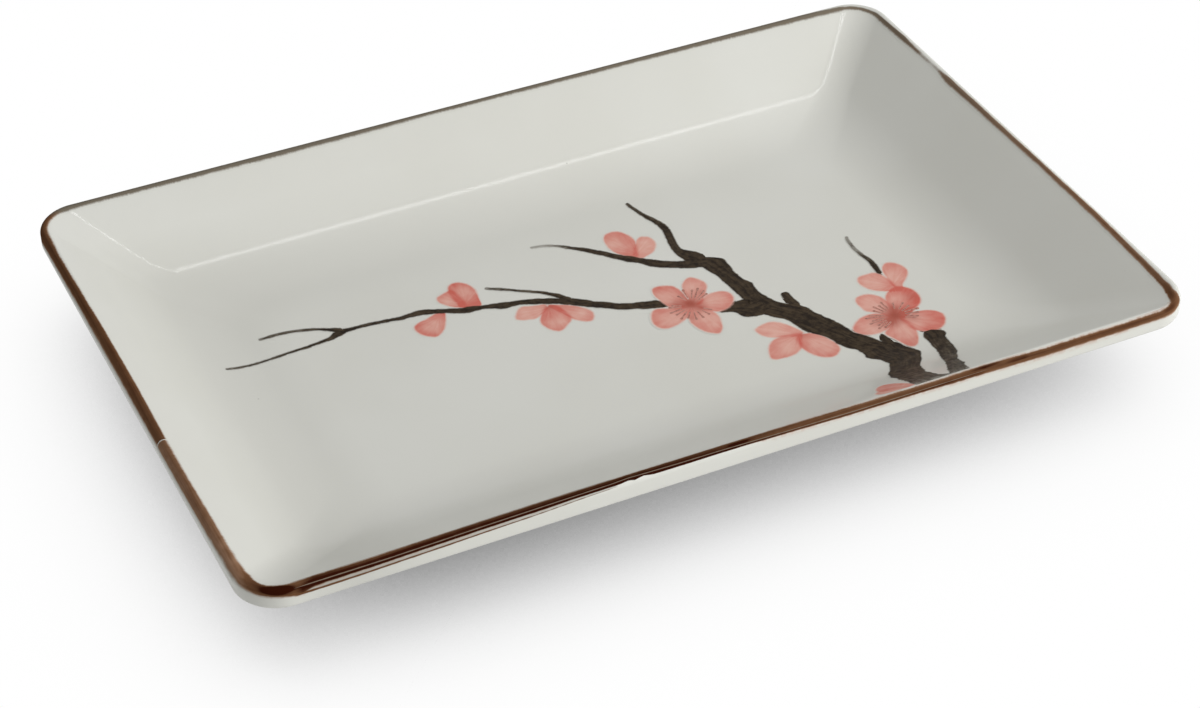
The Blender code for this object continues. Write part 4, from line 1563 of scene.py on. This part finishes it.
class PLATE_OT_brush_branch(PlateOperator, bpy.types.Operator):
    """Brush the trunk, the limbs and the twigs across the floor"""

    bl_idname = "plate.brush_branch"
    bl_label = "Brush the branch"

    def execute(self, context):
        material = bark_ink(context.scene.plate_finish)
        branch = Branch()
        for order, (name, strokes) in enumerate(STROKES.items()):
            sheets = []
            for index, points in enumerate(strokes):
                seed = STROKE_SEED * order + index
                upright = is_upright(name, index)
                sheet = stroke_sheet(f"{name}_{index}", points, seed, STROKE_MARGIN, upright, branch)
                lift = (STROKE_LIFT + COAT_STEP * order - SHEET_STEP * index) * MM
                lay_coat(sheet, PAINT_COAT, self.coat_target(), lift)
                sheets.append(sheet)
            item = join_pieces(f"{name}_stroke", sheets)
            settle(item, name, material)
        return {"FINISHED"}


class PLATE_OT_wash_blossoms(PlateOperator, bpy.types.Operator):
    """Wash the blossoms and the buds beside and over the branch"""

    bl_idname = "plate.wash_blossoms"
    bl_label = "Wash the blossoms"

    def execute(self, context):
        material = petal_wash(context.scene.plate_finish)
        branch = Branch()
        for order, (name, (centre, petals)) in enumerate(BLOSSOMS.items()):
            item = blossom_sheet(f"{name}_wash", centre, petals, HEARTS.get(name, ()), branch)
            lift = OVER_LIFT if name == "open_blossom" else UNDER_LIFT
            lay_coat(item, PAINT_COAT, self.coat_target(), (lift + COAT_STEP * order) * MM)
            settle(item, name, material)
        return {"FINISHED"}


class PLATE_OT_draw_stamens(PlateOperator, bpy.types.Operator):
    """Draw the stamens of the open blossoms"""

    bl_idname = "plate.draw_stamens"
    bl_label = "Draw the stamens"

    def execute(self, context):
        material = stamen_ink(context.scene.plate_finish)
        for name, stamens in STAMENS.items():
            centre = BLOSSOMS[name][0]
            sheets = []
            for index, stamen in enumerate(stamens):
                seed = STAMEN_SEED * index + centre[0]
                sheet = stamen_sheet(f"{name}_{index}", centre, stamen, seed)
                lay_coat(sheet, PAINT_COAT, self.coat_target(), (STAMEN_LIFT + SHEET_STEP * index) * MM)
                sheets.append(sheet)
            item = join_pieces(f"{name}_stamens", sheets)
            settle(item, None, material)
        return {"FINISHED"}


def table_finish(finish):
    """Pale table: matt for the light it gives back, white to the eye except where the plate shades it."""
    material, tree, shader = new_finish("pale_table")
    tree.nodes.remove(shader)
    matt = add_node(tree, "ShaderNodeBsdfDiffuse", {"Color": (*finish.table, 1.0)})
    reach = {"Distance": SHADE_REACH}
    hidden = add_node(tree, "ShaderNodeAmbientOcclusion", reach, samples=SHADE_SAMPLES)
    open_sky = Value(hidden.outputs["AO"])
    side = object_place(tree).parts()[0]
    shade = (1.0 - open_sky) ** SHADE_FADE * side.remap(*LEFT_SHADE) * side.remap(*RIGHT_SHADE)
    glow = add_node(tree, "ShaderNodeEmission", {"Strength": 1.0 - shade})
    surfaces = {0: seen_directly(tree), 1: Value(matt.outputs[0]), 2: Value(glow.outputs[0])}
    seen = add_node(tree, "ShaderNodeMixShader", surfaces)
    plug(tree.nodes["Material Output"].inputs["Surface"], Value(seen.outputs[0]))
    return material


def seen_directly(tree):
    """One for rays that show the background itself: straight from the camera, mirrored or through glass."""
    path = add_node(tree, "ShaderNodeLightPath").outputs
    straight = Value(path["Is Camera Ray"])
    mirrored = Value(path["Is Glossy Ray"])
    through = Value(path["Is Transmission Ray"])
    return straight.higher_of(mirrored.higher_of(through))


def add_soft_light(name, place, aim, power, size):
    """Rectangular lamp at a place, turned to its aim with its width level."""
    start_clean()
    bpy.ops.object.light_add(type="AREA", location=place)
    lamp = newest(name)
    lamp.rotation_euler = (Vector(aim) - Vector(place)).to_track_quat("-Z", "Y").to_euler()
    lamp.data.shape = "RECTANGLE"
    lamp.data.size, lamp.data.size_y = size
    lamp.data.energy = power
    return lamp


class PLATE_OT_set_stage(PlateOperator, bpy.types.Operator):
    """Set the table, the lights and the camera"""

    bl_idname = "plate.set_stage"
    bl_label = "Set the stage"

    def execute(self, context):
        scene = context.scene
        studio = scene.plate_studio
        start_clean()
        bpy.ops.mesh.primitive_plane_add(size=TABLE_SIZE)
        table = newest("pale_table")
        table.data.materials.append(table_finish(scene.plate_finish))

        world = bpy.data.worlds.new("even_sky")
        scene.world = world
        world.use_nodes = True
        background = world.node_tree.nodes["Background"].inputs
        background["Color"].default_value = (1.0, 1.0, 1.0, 1.0)
        plug(background["Strength"], seen_directly(world.node_tree).remap(0.0, 1.0, studio.sky, 1.0))

        add_soft_light("key_light", KEY_PLACE, (0, 0, 0), studio.key_power, KEY_SIZE)
        below_strip = (*STRIP_PLACE[:2], 0)
        strip = add_soft_light("strip_light", STRIP_PLACE, below_strip, studio.strip_power, STRIP_SIZE)
        strip.rotation_euler.z = STRIP_TURN

        sight = Vector((
            math.sin(studio.azimuth) * math.cos(studio.elevation),
            -math.cos(studio.azimuth) * math.cos(studio.elevation),
            math.sin(studio.elevation),
        ))
        across = Vector((0, 0, 1)).cross(sight).normalized()
        rim_middle = Vector((0, 0, RIM_HEIGHT - AIM_DROP))
        aim = rim_middle + across * studio.sideways + sight.cross(across) * studio.lift
        bpy.ops.object.camera_add(location=aim + sight * studio.distance)
        camera = bpy.context.object
        camera.rotation_euler = (-sight).to_track_quat("-Z", "Y").to_euler()
        camera.data.sensor_width = SENSOR_MM
        camera.data.lens = studio.lens
        camera.data.clip_start = NEAREST_SEEN
        scene.camera = camera
        scene.view_settings.view_transform = "Standard"
        return {"FINISHED"}


STEPS = (
    PLATE_OT_mould_dish,
    PLATE_OT_add_foot,
    PLATE_OT_brush_line,
    PLATE_OT_brush_branch,
    PLATE_OT_wash_blossoms,
    PLATE_OT_draw_stamens,
    PLATE_OT_set_stage,
)


class PLATE_PT_builder(bpy.types.Panel):
    """Steps and settings of the plate"""

    bl_idname = "PLATE_PT_builder"
    bl_label = "Sushi plate"
    bl_space_type = "VIEW_3D"
    bl_region_type = "UI"
    bl_category = "Plate"

    def draw(self, context):
        for step in STEPS:
            self.layout.operator(step.bl_idname)
        for group in (context.scene.plate_shape, context.scene.plate_finish, context.scene.plate_studio):
            box = self.layout.box()
            for key in group.__annotations__:
                box.prop(group, key)


CLASSES = (PlateShape, PlateFinish, PlateStudio, *STEPS, PLATE_PT_builder)


def register():
    for kind in CLASSES:
        bpy.utils.register_class(kind)
    bpy.types.Scene.plate_shape = bpy.props.PointerProperty(type=PlateShape)
    bpy.types.Scene.plate_finish = bpy.props.PointerProperty(type=PlateFinish)
    bpy.types.Scene.plate_studio = bpy.props.PointerProperty(type=PlateStudio)


def unregister():
    del bpy.types.Scene.plate_studio
    del bpy.types.Scene.plate_finish
    del bpy.types.Scene.plate_shape
    for kind in reversed(CLASSES):
        bpy.utils.unregister_class(kind)


def main():
    register()
    bpy.ops.plate.mould_dish()
    bpy.ops.plate.add_foot()
    bpy.ops.plate.brush_line()
    bpy.ops.plate.brush_branch()
    bpy.ops.plate.wash_blossoms()
    bpy.ops.plate.draw_stamens()
    bpy.ops.plate.set_stage()


if __name__ == "__main__":
    main()
